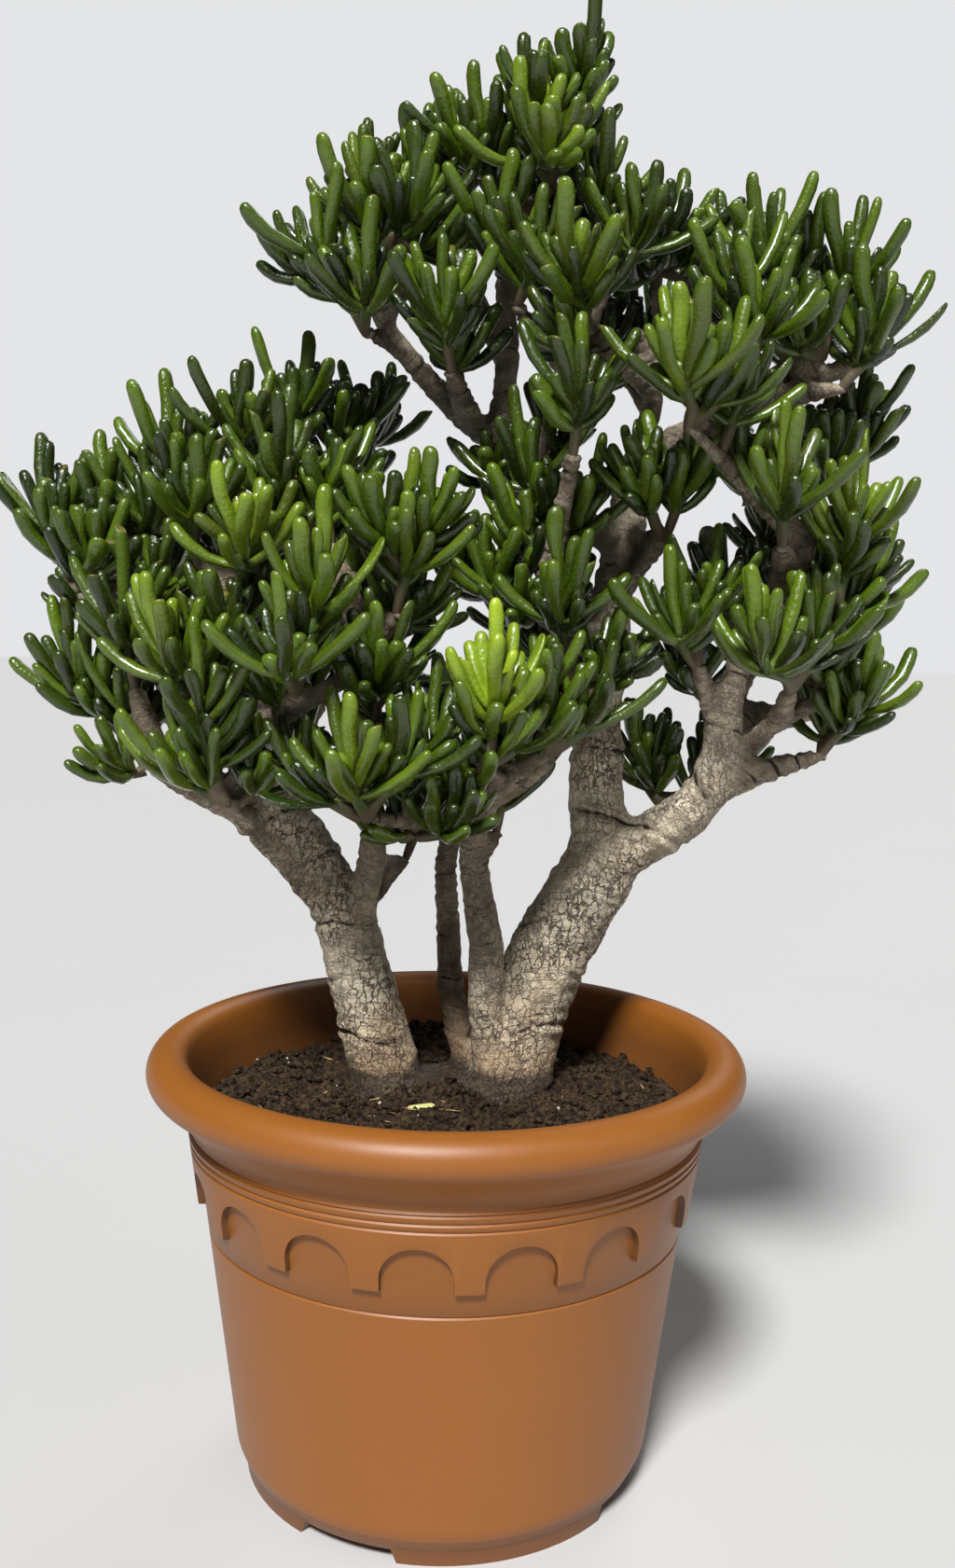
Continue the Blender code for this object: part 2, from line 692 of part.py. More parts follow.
def leaf_shape(root, way, length, thick, lift, clear=0.0):
    """Rings and tip of a finger leaf that leaves `root` along `way` and curves upwards."""
    side = way.cross(UP)
    side = side.normalized() if side.length > NEARLY_UPRIGHT else way.orthogonal().normalized()
    place, here, rings = root, 0.0, []
    for share, fullness in (*LEAF_RINGS, (1.0, 0.0)):
        heading = (way + UP * lift * (here + share) / 2).normalized()
        place = place + heading * length * (share - here)
        here = share
        if fullness:
            half = LEAF_WIDTH * thick * fullness + clear
            deep = LEAF_THICKNESS * thick * fullness + clear
            rings.append(corners(place, side, heading.cross(side), half, deep))
    return rings, place + heading * clear


class Head:
    """A head of leaves: the leafy end of a stem."""

    def __init__(self, root, stem, axis, levels):
        self.solid = [root, *stem]
        self.stem = stem
        self.axis = axis
        self.levels = levels
        self.slots = []
        self.leaves = Space()
        self.leaves.add(self.solid)
        self.bm = None

    def fits(self, space, own):
        """Whether the stem is long and upright enough and crosses nothing."""
        way = sum(self.solid[1], Vector()) / 4 - sum(self.solid[0], Vector()) / 4
        if way.length < LINK_LEAST or way.dot(self.axis) < LINK_LEAST / 2:
            return False
        if not (is_sound(self.solid) and space.is_free(self.solid) and own.is_free(self.solid)):
            return False
        own.add(self.solid)
        return True

    def build_stem(self, bm, face):
        """Grow the stem from a face and note the faces that leaves grow from."""
        self.bm = bm
        for number, ring in enumerate(self.stem):
            sides, face = extend(bm, face, ring)
            if number == 1:
                self.slots += [(side, LOW_RISE if i % 2 else MIDDLE_RISE)
                               for i, side in enumerate(sides)]
            if number == 2:
                self.slots += [(side, HIGH_RISE) for side in sides[::2]]
        self.slots.append((face, TOP_RISE))

    def leaf_from(self, face, rise, space, draw):
        """Grow one leaf from a face of the stem where there is room for it."""
        centre = face.calc_center_median()
        face.normal_update()
        out = face.normal.copy()
        length = LEAF_LENGTH * draw.uniform(*LEAF_SIZES) * (LEAF_AT_FOOT - LEAF_SHORTER * rise)
        thick = draw.uniform(*LEAF_THICKS)
        lift = draw.uniform(*LEAF_LIFTS)
        for trial in range(LEAF_TRIALS):
            again = trial // len(TRIAL_TURNS)
            turn = Matrix.Rotation(TRIAL_TURNS[trial % len(TRIAL_TURNS)], 3, self.axis)
            way = (turn @ out + self.axis * (rise + TRIAL_RISE * again)).normalized()
            size = length * (1.0 - TRIAL_SHRINK * again)
            root = [vert.co for vert in face.verts]
            if self.has_room(root, centre, way, (size, thick, lift), space):
                rings, tip = leaf_shape(centre, way, size, thick, lift)
                self.grow_leaf(face, [matched(root, ring) for ring in rings[1:]], tip, space)
                return

    def has_room(self, root, centre, way, sizes, space):
        """Whether a leaf from the face at `root` would cross nothing."""
        wide, tip = leaf_shape(centre, way, *sizes, LEAF_CLEAR)
        outer = [matched(root, ring) for ring in wide[1:]]
        share, lifted = LEAF_SLIM
        slim = [[centre.lerp(corner, share) + way * lifted for corner in root], *outer]
        whole = [root, *outer]
        return (is_sound(whole, tip) and space.is_free(wide, tip)
                and self.leaves.is_free(slim, tip) and self.leaves.is_free(whole, tip)
                and space.is_free(whole, tip, but_for=(self,)))

    def grow_leaf(self, face, rings, tip, space):
        """Add the leaf to the shoot's mesh and take up its room."""
        solid = [[vert.co.copy() for vert in face.verts], *rings]
        space.add(solid, tip, owner=self)
        self.leaves.add(solid, tip)
        for ring in rings:
            _, face = extend(self.bm, face, ring)
        close_tip(self.bm, face, tip)


class Shoot:
    """A green shoot on the end of a woody twig: a neck that forks to its heads of leaves."""

    def __init__(self, places, faces, space):
        self.spots = [placed(*place[:3]) for place in places]
        self.levels = [place[3] for place in places]
        self.middle = sum(self.spots, Vector()) / len(self.spots)
        self.root = self.find_room(suited(faces, self.middle - UP * SHOOT_LENGTH), space)
        self.settle(space)

    def find_room(self, choice, space):
        """Lay the shoot out on the best face from which it crosses nothing; give back its key."""
        for key, outline, normal in choice[:SHOOT_ROOTS]:
            for turn in SHOOT_TURNS:
                for stretch in SHOOT_STRETCHES:
                    self.lay_out(outline, normal, turn, stretch)
                    if self.fits(space, key[0]):
                        return key
        raise ValueError(f"no room for the shoot at {self.middle}")

    def lay_out(self, outline, normal, turn, stretch):
        """Work out twig, neck and the stems of the heads."""
        root = sum(outline, Vector()) / 4
        forward, upward = SHOOT_LEAN
        facing = ((self.middle - root).normalized() * forward + UP * upward).normalized()
        facing = Matrix.Rotation(turn, 3, UP) @ facing
        foot = self.middle - facing * SHOOT_LENGTH * stretch
        if (foot - root).dot(normal) < TWIG_SHORTEST:
            foot = root + (facing + normal).normalized() * TWIG_START
        self.facing = facing
        self.across = swung(normal, facing, outline[1] - outline[0])
        self.over = facing.cross(self.across)
        self.twig = [outline, matched(outline, self.square(foot, TWIG_HALF))]
        share, lifted = TWIG_SLIM
        inner = [root.lerp(corner, share) + normal * lifted for corner in outline]
        self.slim_twig = [inner, self.twig[1]]
        base = foot + facing * GAP
        self.neck = [self.square(base, STEM_FOOT), self.square(base + facing * NECK, STEM_HALF)]
        self.lay_out_heads(base)

    def lay_out_heads(self, base):
        """The head most in line goes on the neck's end, the others on its sides."""
        order = sorted(zip(self.spots, self.levels),
                       key=lambda item: -(item[0] - base).normalized().dot(self.facing))
        self.heads = [self.head(base + self.facing * NECK, *order[0])]
        for spot, levels in order[1:]:
            leave = base + self.facing * NECK / 2
            aim = spot - leave
            sideways = (aim - self.facing * aim.dot(self.facing)).normalized()
            self.heads.append(self.head(leave + sideways * SIDE_START, spot, levels))

    def square(self, centre, half):
        """A square ring across the neck."""
        return corners(centre, self.across, self.over, half, half)

    def head(self, leave, spot, levels):
        """A head at `spot` on a stem that leaves the neck at `leave`."""
        forward, upward = HEAD_LEAN
        axis = ((spot - leave).normalized() * forward + UP * upward).normalized()
        across = swung(self.facing, axis, self.across)
        over = axis.cross(across)
        stem = []
        for number in range(levels + 1):
            centre = spot + axis * HEAD_STEP * (number - levels / 2)
            turn = Matrix.Rotation(TWIST * number, 3, axis)
            half = STEM_TIP if number == levels else STEM_HALF
            stem.append(corners(centre, turn @ across, turn @ over, half, half))
        return Head(corners(leave, across, over, HEAD_FOOT, HEAD_FOOT), stem, axis, levels)

    def fits(self, space, bough):
        """Whether neck and stems cross nothing, and the twig nothing but other boughs."""
        ahead = min((self.neck[0][0] - corner).dot(self.facing) for corner in self.twig[0])
        reach = sum(self.twig[1], Vector()) - sum(self.twig[0], Vector())
        if ahead < TWIG_HALF or reach.normalized().dot(facing_of(self.twig[0])) < TWIG_LEAN:
            return False
        others = [name for name in BOUGHS if name != bough]
        if not space.is_free(self.neck) or not space.is_free(self.slim_twig, but_for=others):
            return False
        if not is_sound(self.twig) or not space.is_free(self.twig, but_for=others):
            return False
        own = Space()
        own.add(self.twig)
        return all(head.fits(space, own) for head in self.heads)

    def settle(self, space):
        """Take up the room."""
        space.add(self.twig, owner=self.root[0])
        space.add(self.neck, owner=self)
        for head in self.heads:
            space.add(head.solid, owner=head)

    def build_stems(self):
        """Make the neck and the stems of the heads."""
        bm = bmesh.new()
        bottom = [bm.verts.new(point) for point in self.neck[0]]
        sides, face = extend(bm, bm.faces.new(bottom), self.neck[1])
        bm.faces.new(list(reversed(bottom)))
        self.heads[0].build_stem(bm, face)
        for head in self.heads[1:]:
            for side in sides:
                side.normal_update()
            aim = (head.stem[0][0] - self.neck[0][0]).normalized()
            side = max(sides, key=lambda s: s.normal.dot(aim))
            sides.remove(side)
            head.build_stem(bm, side)
        self.bm = bm


def make_wood(shoots, parent):
    """Root flare, trunks, boughs and twigs joined as the one piece they grew as."""
    pieces = []
    for name in BOUGHS:
        bm = bmesh.new()
        sides = loft(bm, bough_rings(name))
        for shoot in shoots:
            if shoot.root[0] == name:
                grown, _ = extend(bm, sides[shoot.root[1]][shoot.root[2]], shoot.twig[1])
                split_quads(bm, grown)
        pieces.append(finish(name, bm, None, None))
    bm = bmesh.new()
    loft(bm, [flare_ring(height, scale) for height, scale in FLARE_LEVELS])
    wood = finish("wood", bm, None, parent)
    combine(wood, pieces, "UNION")
    wood.data.materials.clear()
    wood.data.materials.append(material("bark", *BARK))
    return wood


def make_plant(parent):
    """Wood and leafy shoots."""
    space = Space()
    for name in BOUGHS:
        space.add(bough_rings(name), owner=name)
    faces = bough_faces()
    shoots = []
    for places in SHOOTS:
        shoots.append(Shoot(places, faces, space))
        faces = [face for face in faces if face[0] != shoots[-1].root]
    for shoot in shoots:
        shoot.build_stems()
    heads = [head for shoot in shoots for head in shoot.heads]
    draw = random.Random(SEED)
    for turn in range(max(len(head.slots) for head in heads)):
        for head in heads:
            if turn < len(head.slots):
                head.leaf_from(*head.slots[turn], space, draw)
    make_wood(shoots, parent)
    green = material("leaf", *LEAF_SKIN)
    for number, shoot in enumerate(shoots):
        split_quads(shoot.bm, list(shoot.bm.faces))
        finish(f"spray_{number + 1:02d}", shoot.bm, green, parent, SHARP_LEAF)


def make_fallen_leaf(parent):
    """The yellowed leaf that lies on the soil."""
    along = Vector((math.cos(FALLEN_TURN), math.sin(FALLEN_TURN), 0))
    across = UP.cross(along)
    middle = Vector((*FALLEN_AT, SOIL_HEIGHT + GAP + FALLEN_THICKNESS / 2))
    bm = bmesh.new()
    loft(bm, [corners(middle + along * FALLEN_LENGTH * share, across, UP,
                      FALLEN_WIDTH / 2 * fullness, FALLEN_THICKNESS / 2)
              for share, fullness in FALLEN_RINGS])
    return finish("fallen_leaf", bm, material("fallen_leaf", *YELLOWED), parent)


def main():
    """Build the whole plant in its pot."""
    clear_scene()
    stand = bpy.data.objects.new("jade_bonsai", None)
    bpy.context.scene.collection.objects.link(stand)
    make_pot(stand)
    make_soil(stand)
    make_plant(stand)
    make_fallen_leaf(stand)


main()
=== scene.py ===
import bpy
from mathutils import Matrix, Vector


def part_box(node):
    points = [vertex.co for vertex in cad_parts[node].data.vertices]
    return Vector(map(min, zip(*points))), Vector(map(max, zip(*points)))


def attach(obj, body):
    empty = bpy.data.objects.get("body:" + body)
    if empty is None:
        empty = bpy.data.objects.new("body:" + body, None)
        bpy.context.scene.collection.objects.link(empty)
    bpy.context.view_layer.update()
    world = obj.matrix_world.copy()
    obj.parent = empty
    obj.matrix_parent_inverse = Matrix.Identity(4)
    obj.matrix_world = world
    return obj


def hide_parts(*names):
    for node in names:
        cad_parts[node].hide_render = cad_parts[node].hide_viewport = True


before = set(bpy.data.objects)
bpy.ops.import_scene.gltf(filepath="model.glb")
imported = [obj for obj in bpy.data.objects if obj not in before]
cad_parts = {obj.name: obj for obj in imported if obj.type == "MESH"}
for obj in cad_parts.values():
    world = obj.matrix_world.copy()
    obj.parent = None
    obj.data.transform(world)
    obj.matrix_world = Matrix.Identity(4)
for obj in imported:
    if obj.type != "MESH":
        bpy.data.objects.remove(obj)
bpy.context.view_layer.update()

"""The looks of a finger-leaved jade plant, trained as a bonsai, in its moulded pot.

All sizes are in metres. The frame's solids say where each shoot, leaf and bough is. Each class
below builds one sub-assembly on those places as a fine surface, and dresses it in a finish of its
own.
"""

import heapq
import logging
import math
import random
from dataclasses import dataclass, field
from enum import Enum
from typing import Any, ClassVar, Iterable, Sequence

import bmesh
import bpy
import numpy as np
from mathutils import Matrix, Vector, noise
from mathutils.bvhtree import BVHTree

Colour = tuple[float, float, float]
Point = tuple[float, float]

MM = 0.001
UP = Vector((0.0, 0.0, 1.0))
SEED = 11
WELD = 0.00001
GOLDEN_TURN = math.radians(137.5)

log = logging.getLogger("jade_bonsai")


class Tip(Enum):
    """How a finger leaf ends."""

    FINGER = "closes round"
    CUP = "ends in a slanted dimple"
    SPOON = "widens to a shallow spoon"


class Graph:
    """A node tree that is being wired."""

    def __init__(self, tree: bpy.types.NodeTree) -> None:
        """Take a tree.

        Args:
            tree: The tree of a material or of a node group.
        """
        self.tree = tree

    def add(self, kind: str, feeds: dict | None = None, **options: Any) -> bpy.types.Node:
        """Add one node.

        Args:
            kind: Blender's name for the node.
            feeds: A socket to link from, or a value, for each input by name or number.
            **options: Settings of the node.

        Returns:
            The node.
        """
        node = self.tree.nodes.new(kind)
        for name, value in options.items():
            setattr(node, name, value)
        for name, value in (feeds or {}).items():
            if isinstance(value, bpy.types.NodeSocket):
                self.tree.links.new(value, node.inputs[name])
            else:
                node.inputs[name].default_value = value
        return node

    def math(self, operation: str, first: Any, second: Any = 0.0, clamp: bool = False) -> Any:
        """Reckon with two numbers.

        Args:
            operation: Blender's name for the sum.
            first: A socket or a number.
            second: A socket or a number.
            clamp: Whether the result is held between 0 and 1.

        Returns:
            The socket of the result.
        """
        return self.add("ShaderNodeMath", {0: first, 1: second},
                        operation=operation, use_clamp=clamp).outputs[0]

    def spread(self, value: Any, low: float, high: float, start: float = 0.0,
               end: float = 1.0) -> Any:
        """Map a number from one range to another and hold it there.

        Args:
            value: The socket of the number.
            low: The number that becomes `start`.
            high: The number that becomes `end`.
            start: The first end of the new range.
            end: The other end of the new range.

        Returns:
            The socket of the result.
        """
        return self.add("ShaderNodeMapRange", {"Value": value, "From Min": low, "From Max": high,
                                               "To Min": start, "To Max": end}).outputs[0]

    def mix(self, share: Any, first: Any, second: Any, blend: str = "MIX") -> Any:
        """Mix two colours.

        Args:
            share: How much of the second colour shows.
            first: A socket or a colour.
            second: A socket or a colour.
            blend: Blender's name for the way of mixing.

        Returns:
            The socket of the mixed colour.
        """
        feeds = {0: share, 6: opaque(first), 7: opaque(second)}
        return self.add("ShaderNodeMix", feeds, data_type="RGBA", blend_type=blend).outputs[2]

    def cover(self, base: Any, mask: Any, share: float, colour: Any, clamp: bool = False) -> Any:
        """Lay a colour over another where a mask shows it.

        Args:
            base: The socket of the colour below.
            mask: The socket of the mask.
            share: How much of the colour shows where the mask is full.
            colour: A socket or a colour.
            clamp: Whether the share is held between 0 and 1.

        Returns:
            The socket of the covered colour.
        """
        return self.mix(self.math("MULTIPLY", mask, share, clamp), base, colour)

    def places(self, stretch: Colour = (1.0, 1.0, 1.0)) -> Any:
        """Where each point of the surface is.

        Args:
            stretch: How much the places count along each axis.

        Returns:
            The socket of the places.
        """
        here = self.add("ShaderNodeTexCoord").outputs["Object"]
        return self.add("ShaderNodeMapping", {"Vector": here, "Scale": stretch}).outputs[0]

    def noise(self, places: Any, scale: Any, detail: float = 4.0) -> Any:
        """Cloudy noise from 0 to 1.

        Args:
            places: The socket of the places.
            scale: How many clouds there are to the metre.
            detail: How many finer layers the clouds have.

        Returns:
            The socket of the noise.
        """
        return self.add("ShaderNodeTexNoise", {"Vector": places, "Scale": scale,
                                               "Detail": detail, "Roughness": 0.6}).outputs[0]

    def mark(self, name: str) -> Any:
        """The socket of a number that the mesh holds at each point."""
        return self.add("ShaderNodeAttribute", attribute_name=name).outputs["Fac"]

    def effect(self, kind: type["Effect"], feeds: dict) -> Any:
        """Place a shared effect.

        Args:
            kind: The effect.
            feeds: A socket or a value for each of its named inputs.

        Returns:
            The named outputs.
        """
        node = self.tree.nodes.new("ShaderNodeGroup")
        node.node_tree = kind.group()
        for name, value in feeds.items():
            socket = node.inputs[name]
            if isinstance(value, bpy.types.NodeSocket):
                self.tree.links.new(value, socket)
            else:
                socket.default_value = opaque(value) if socket.type == "RGBA" else value
        return node.outputs

    def bump(self, height: Any, strength: float, depth: float) -> Any:
        """Turn a height into a normal.

        Args:
            height: The socket of the height, from 0 to 1.
            strength: How much of the relief shows.
            depth: How far the relief reaches.

        Returns:
            The socket of the normal.
        """
        return self.add("ShaderNodeBump", {"Height": height, "Strength": strength,
                                           "Distance": depth}).outputs[0]


def opaque(value: Any) -> Any:
    """A colour with its alpha, or any other value as it is."""
    return (*value, 1.0) if isinstance(value, tuple) and len(value) == 3 else value


class Effect:
    """A node group with named inputs and outputs, built once and placed in each material."""

    name: ClassVar[str]
    inputs: ClassVar[dict[str, tuple[str, Any]]]
    outputs: ClassVar[dict[str, str]]

    @classmethod
    def group(cls) -> bpy.types.NodeTree:
        """The group, which the first call builds.

        Returns:
            The group's tree.
        """
        found = bpy.data.node_groups.get(cls.name)
        if found:
            return found
        tree = bpy.data.node_groups.new(cls.name, "ShaderNodeTree")
        for name, (kind, value) in cls.inputs.items():
            socket = tree.interface.new_socket(name=name, in_out="INPUT", socket_type=kind)
            socket.default_value = value
        for name, kind in cls.outputs.items():
            tree.interface.new_socket(name=name, in_out="OUTPUT", socket_type=kind)
        graph = Graph(tree)
        entry = graph.add("NodeGroupInput")
        leave = graph.add("NodeGroupOutput")
        for name, socket in cls.wire(graph, entry.outputs).items():
            tree.links.new(socket, leave.inputs[name])
        return tree

    @classmethod
    def wire(cls, graph: Graph, feeds: Any) -> dict[str, Any]:
        """Wire the group.

        Args:
            graph: The group's tree.
            feeds: The sockets of its inputs by name.

        Returns:
            The socket for each output.
        """
        raise NotImplementedError


class Mottle(Effect):
    """Cloudy change between two colours."""

    name = "mottle"
    inputs = {"Scale": ("NodeSocketFloat", 30.0), "Contrast": ("NodeSocketFloat", 0.2),
              "First": ("NodeSocketColor", (0.5, 0.5, 0.5, 1.0)),
              "Second": ("NodeSocketColor", (0.6, 0.6, 0.6, 1.0))}
    outputs = {"Color": "NodeSocketColor", "Mask": "NodeSocketFloat"}

    @classmethod
    def wire(cls, graph: Graph, feeds: Any) -> dict[str, Any]:
        """Wire the clouds; see Effect.wire."""
        clouds = graph.noise(graph.places(), feeds["Scale"], 6.0)
        low = graph.math("SUBTRACT", 0.5, feeds["Contrast"])
        high = graph.math("ADD", 0.5, feeds["Contrast"])
        mask = graph.add("ShaderNodeMapRange", {"Value": clouds, "From Min": low,
                                                "From Max": high}).outputs[0]
        return {"Color": graph.mix(mask, feeds["First"], feeds["Second"]), "Mask": mask}


class Speckle(Effect):
    """Small round dots, scattered."""

    left_out: ClassVar[float] = 0.55
    sharpness: ClassVar[float] = 8.0
    name = "speckle"
    inputs = {"Scale": ("NodeSocketFloat", 400.0), "Size": ("NodeSocketFloat", 0.2)}
    outputs = {"Mask": "NodeSocketFloat"}

    @classmethod
    def wire(cls, graph: Graph, feeds: Any) -> dict[str, Any]:
        """Wire the dots; see Effect.wire."""
        cells = graph.add("ShaderNodeTexVoronoi", {"Vector": graph.places(),
                                                   "Scale": feeds["Scale"]})
        dots = graph.math("SUBTRACT", feeds["Size"], cells.outputs["Distance"])
        chosen = graph.add("ShaderNodeSeparateColor", {0: cells.outputs["Color"]}).outputs[0]
        some = graph.math("GREATER_THAN", chosen, cls.left_out)
        sharp = graph.math("MULTIPLY", dots, cls.sharpness, True)
        return {"Mask": graph.math("MULTIPLY", sharp, some)}


class Streaks(Effect):
    """Fine strokes drawn out along one axis."""

    sharpness: ClassVar[float] = 6.0
    name = "streaks"
    inputs = {"Stretch": ("NodeSocketVector", (1.0, 1.0, 1.0)),
              "Scale": ("NodeSocketFloat", 60.0), "Cover": ("NodeSocketFloat", 0.3)}
    outputs = {"Mask": "NodeSocketFloat"}

    @classmethod
    def wire(cls, graph: Graph, feeds: Any) -> dict[str, Any]:
        """Wire the strokes; see Effect.wire."""
        here = graph.add("ShaderNodeTexCoord").outputs["Object"]
        drawn = graph.add("ShaderNodeVectorMath", {0: here, 1: feeds["Stretch"]},
                          operation="MULTIPLY").outputs[0]
        strokes = graph.noise(drawn, feeds["Scale"], 5.0)
        edge = graph.math("SUBTRACT", 1.0, feeds["Cover"])
        above = graph.math("SUBTRACT", strokes, edge)
        return {"Mask": graph.math("MULTIPLY", above, cls.sharpness, True)}


class Cracks(Effect):
    """A skin that has split into small plates."""

    # How many waves the plates' edges have to the metre, and how far they wander
    waves: ClassVar[float] = 210.0
    wave_depth: ClassVar[Colour] = (0.010, 0.010, 0.010)
    patch_edge: ClassVar[Point] = (0.30, 0.56)
    name = "cracks"
    inputs = {"Stretch": ("NodeSocketVector", (1.0, 1.0, 0.6)),
              "Scale": ("NodeSocketFloat", 200.0), "Width": ("NodeSocketFloat", 0.08),
              "Patches": ("NodeSocketFloat", 30.0)}
    outputs = {"Mask": "NodeSocketFloat", "Height": "NodeSocketFloat"}

    @classmethod
    def wire(cls, graph: Graph, feeds: Any) -> dict[str, Any]:
        """Wire the plates; see Effect.wire."""
        here = graph.add("ShaderNodeTexCoord").outputs["Object"]
        drawn = graph.add("ShaderNodeVectorMath", {0: here, 1: feeds["Stretch"]},
                          operation="MULTIPLY").outputs[0]
        wander = graph.add("ShaderNodeTexNoise", {"Vector": drawn, "Scale": cls.waves,
                                                  "Detail": 3.0}).outputs[1]
        shifted = graph.add("ShaderNodeVectorMath", {0: wander, 1: cls.wave_depth},
                            operation="MULTIPLY").outputs[0]
        places = graph.add("ShaderNodeVectorMath", {0: drawn, 1: shifted},
                           operation="ADD").outputs[0]
        plates = graph.add("ShaderNodeTexVoronoi", {"Vector": places, "Scale": feeds["Scale"]},
                           feature="DISTANCE_TO_EDGE").outputs["Distance"]
        solid = graph.add("ShaderNodeMapRange", {"Value": plates,
                                                 "From Max": feeds["Width"]}).outputs[0]
        patches = graph.spread(graph.noise(here, feeds["Patches"], 3.0), *cls.patch_edge)
        mask = graph.math("MULTIPLY", graph.math("SUBTRACT", 1.0, solid), patches)
        return {"Mask": mask, "Height": graph.math("SUBTRACT", 1.0, mask)}


class RingScars(Effect):
    """Dark creases round a limb, each where a leaf once sat."""

    # How many waves a crease has to the metre, and how far they push it
    waves: ClassVar[Point] = (260.0, 0.10)
    middle: ClassVar[float] = 0.55
    # How many gaps it has to the metre, how sharp they are and how much of it shows in them
    gaps: ClassVar[float] = 85.0
    gap_edge: ClassVar[Point] = (0.40, 0.62)
    least: ClassVar[float] = 0.15
    name = "ring_scars"
    inputs = {"Turns": ("NodeSocketFloat", 0.0), "Shown": ("NodeSocketFloat", 1.0),
              "Width": ("NodeSocketFloat", 0.05)}
    outputs = {"Mask": "NodeSocketFloat"}

    @classmethod
    def wire(cls, graph: Graph, feeds: Any) -> dict[str, Any]:
        """Wire the creases; see Effect.wire."""
        often, deep = cls.waves
        ragged = graph.math("MULTIPLY", graph.noise(graph.places(), often, 3.0), deep)
        part = graph.math("FRACT", graph.math("ADD", feeds["Turns"], ragged))
        off = graph.math("ABSOLUTE", graph.math("SUBTRACT", part, cls.middle))
        broken = graph.spread(graph.noise(graph.places(), cls.gaps, 3.0), *cls.gap_edge,
                              cls.least, 1.0)
        width = graph.math("MULTIPLY", feeds["Width"], broken)
        crease = graph.math("SUBTRACT", 1.0, graph.math("DIVIDE", off, width), True)
        return {"Mask": graph.math("MULTIPLY", crease, graph.math("MULTIPLY", feeds["Shown"],
                                                                  broken), True)}


class Settled(Effect):
    """What gathers below a level, such as splashed soil, with a ragged upper edge."""

    waves: ClassVar[float] = 70.0
    name = "settled"
    inputs = {"Level": ("NodeSocketFloat", 0.05), "Depth": ("NodeSocketFloat", 0.02)}
    outputs = {"Mask": "NodeSocketFloat"}

    @classmethod
    def wire(cls, graph: Graph, feeds: Any) -> dict[str, Any]:
        """Wire the level; see Effect.wire."""
        here = graph.add("ShaderNodeTexCoord").outputs["Object"]
        height = graph.add("ShaderNodeSeparateXYZ", {0: here}).outputs["Z"]
        ragged = graph.math("MULTIPLY", graph.noise(here, cls.waves), feeds["Depth"])
        above = graph.math("SUBTRACT", graph.math("ADD", height, ragged), feeds["Level"])
        share = graph.math("DIVIDE", above, feeds["Depth"], True)
        return {"Mask": graph.math("SUBTRACT", 1.0, share)}


@dataclass(frozen=True)
class Finish:
    """A finish of one material. Those below say what it is made of."""

    name: str
    roughness: float = 0.5

    def material(self) -> bpy.types.Material:
        """Build the material.

        Returns:
            The material, with a Principled shader that `wire` has fed.
        """
        made = bpy.data.materials.new(self.name)
        made.use_nodes = True
        made.node_tree.nodes.clear()
        graph = Graph(made.node_tree)
        shader = graph.add("ShaderNodeBsdfPrincipled", {"Roughness": self.roughness})
        graph.add("ShaderNodeOutputMaterial", {"Surface": shader.outputs[0]})
        for name, socket in self.wire(graph, shader).items():
            graph.tree.links.new(socket, shader.inputs[name])
        return made

    def wire(self, graph: Graph, shader: bpy.types.Node) -> dict[str, Any]:
        """Wire what changes over the surface.

        Args:
            graph: The material's tree.
            shader: Its shader, for values that are the same all over.

        Returns:
            The socket for each input of the shader that changes.
        """
        raise NotImplementedError


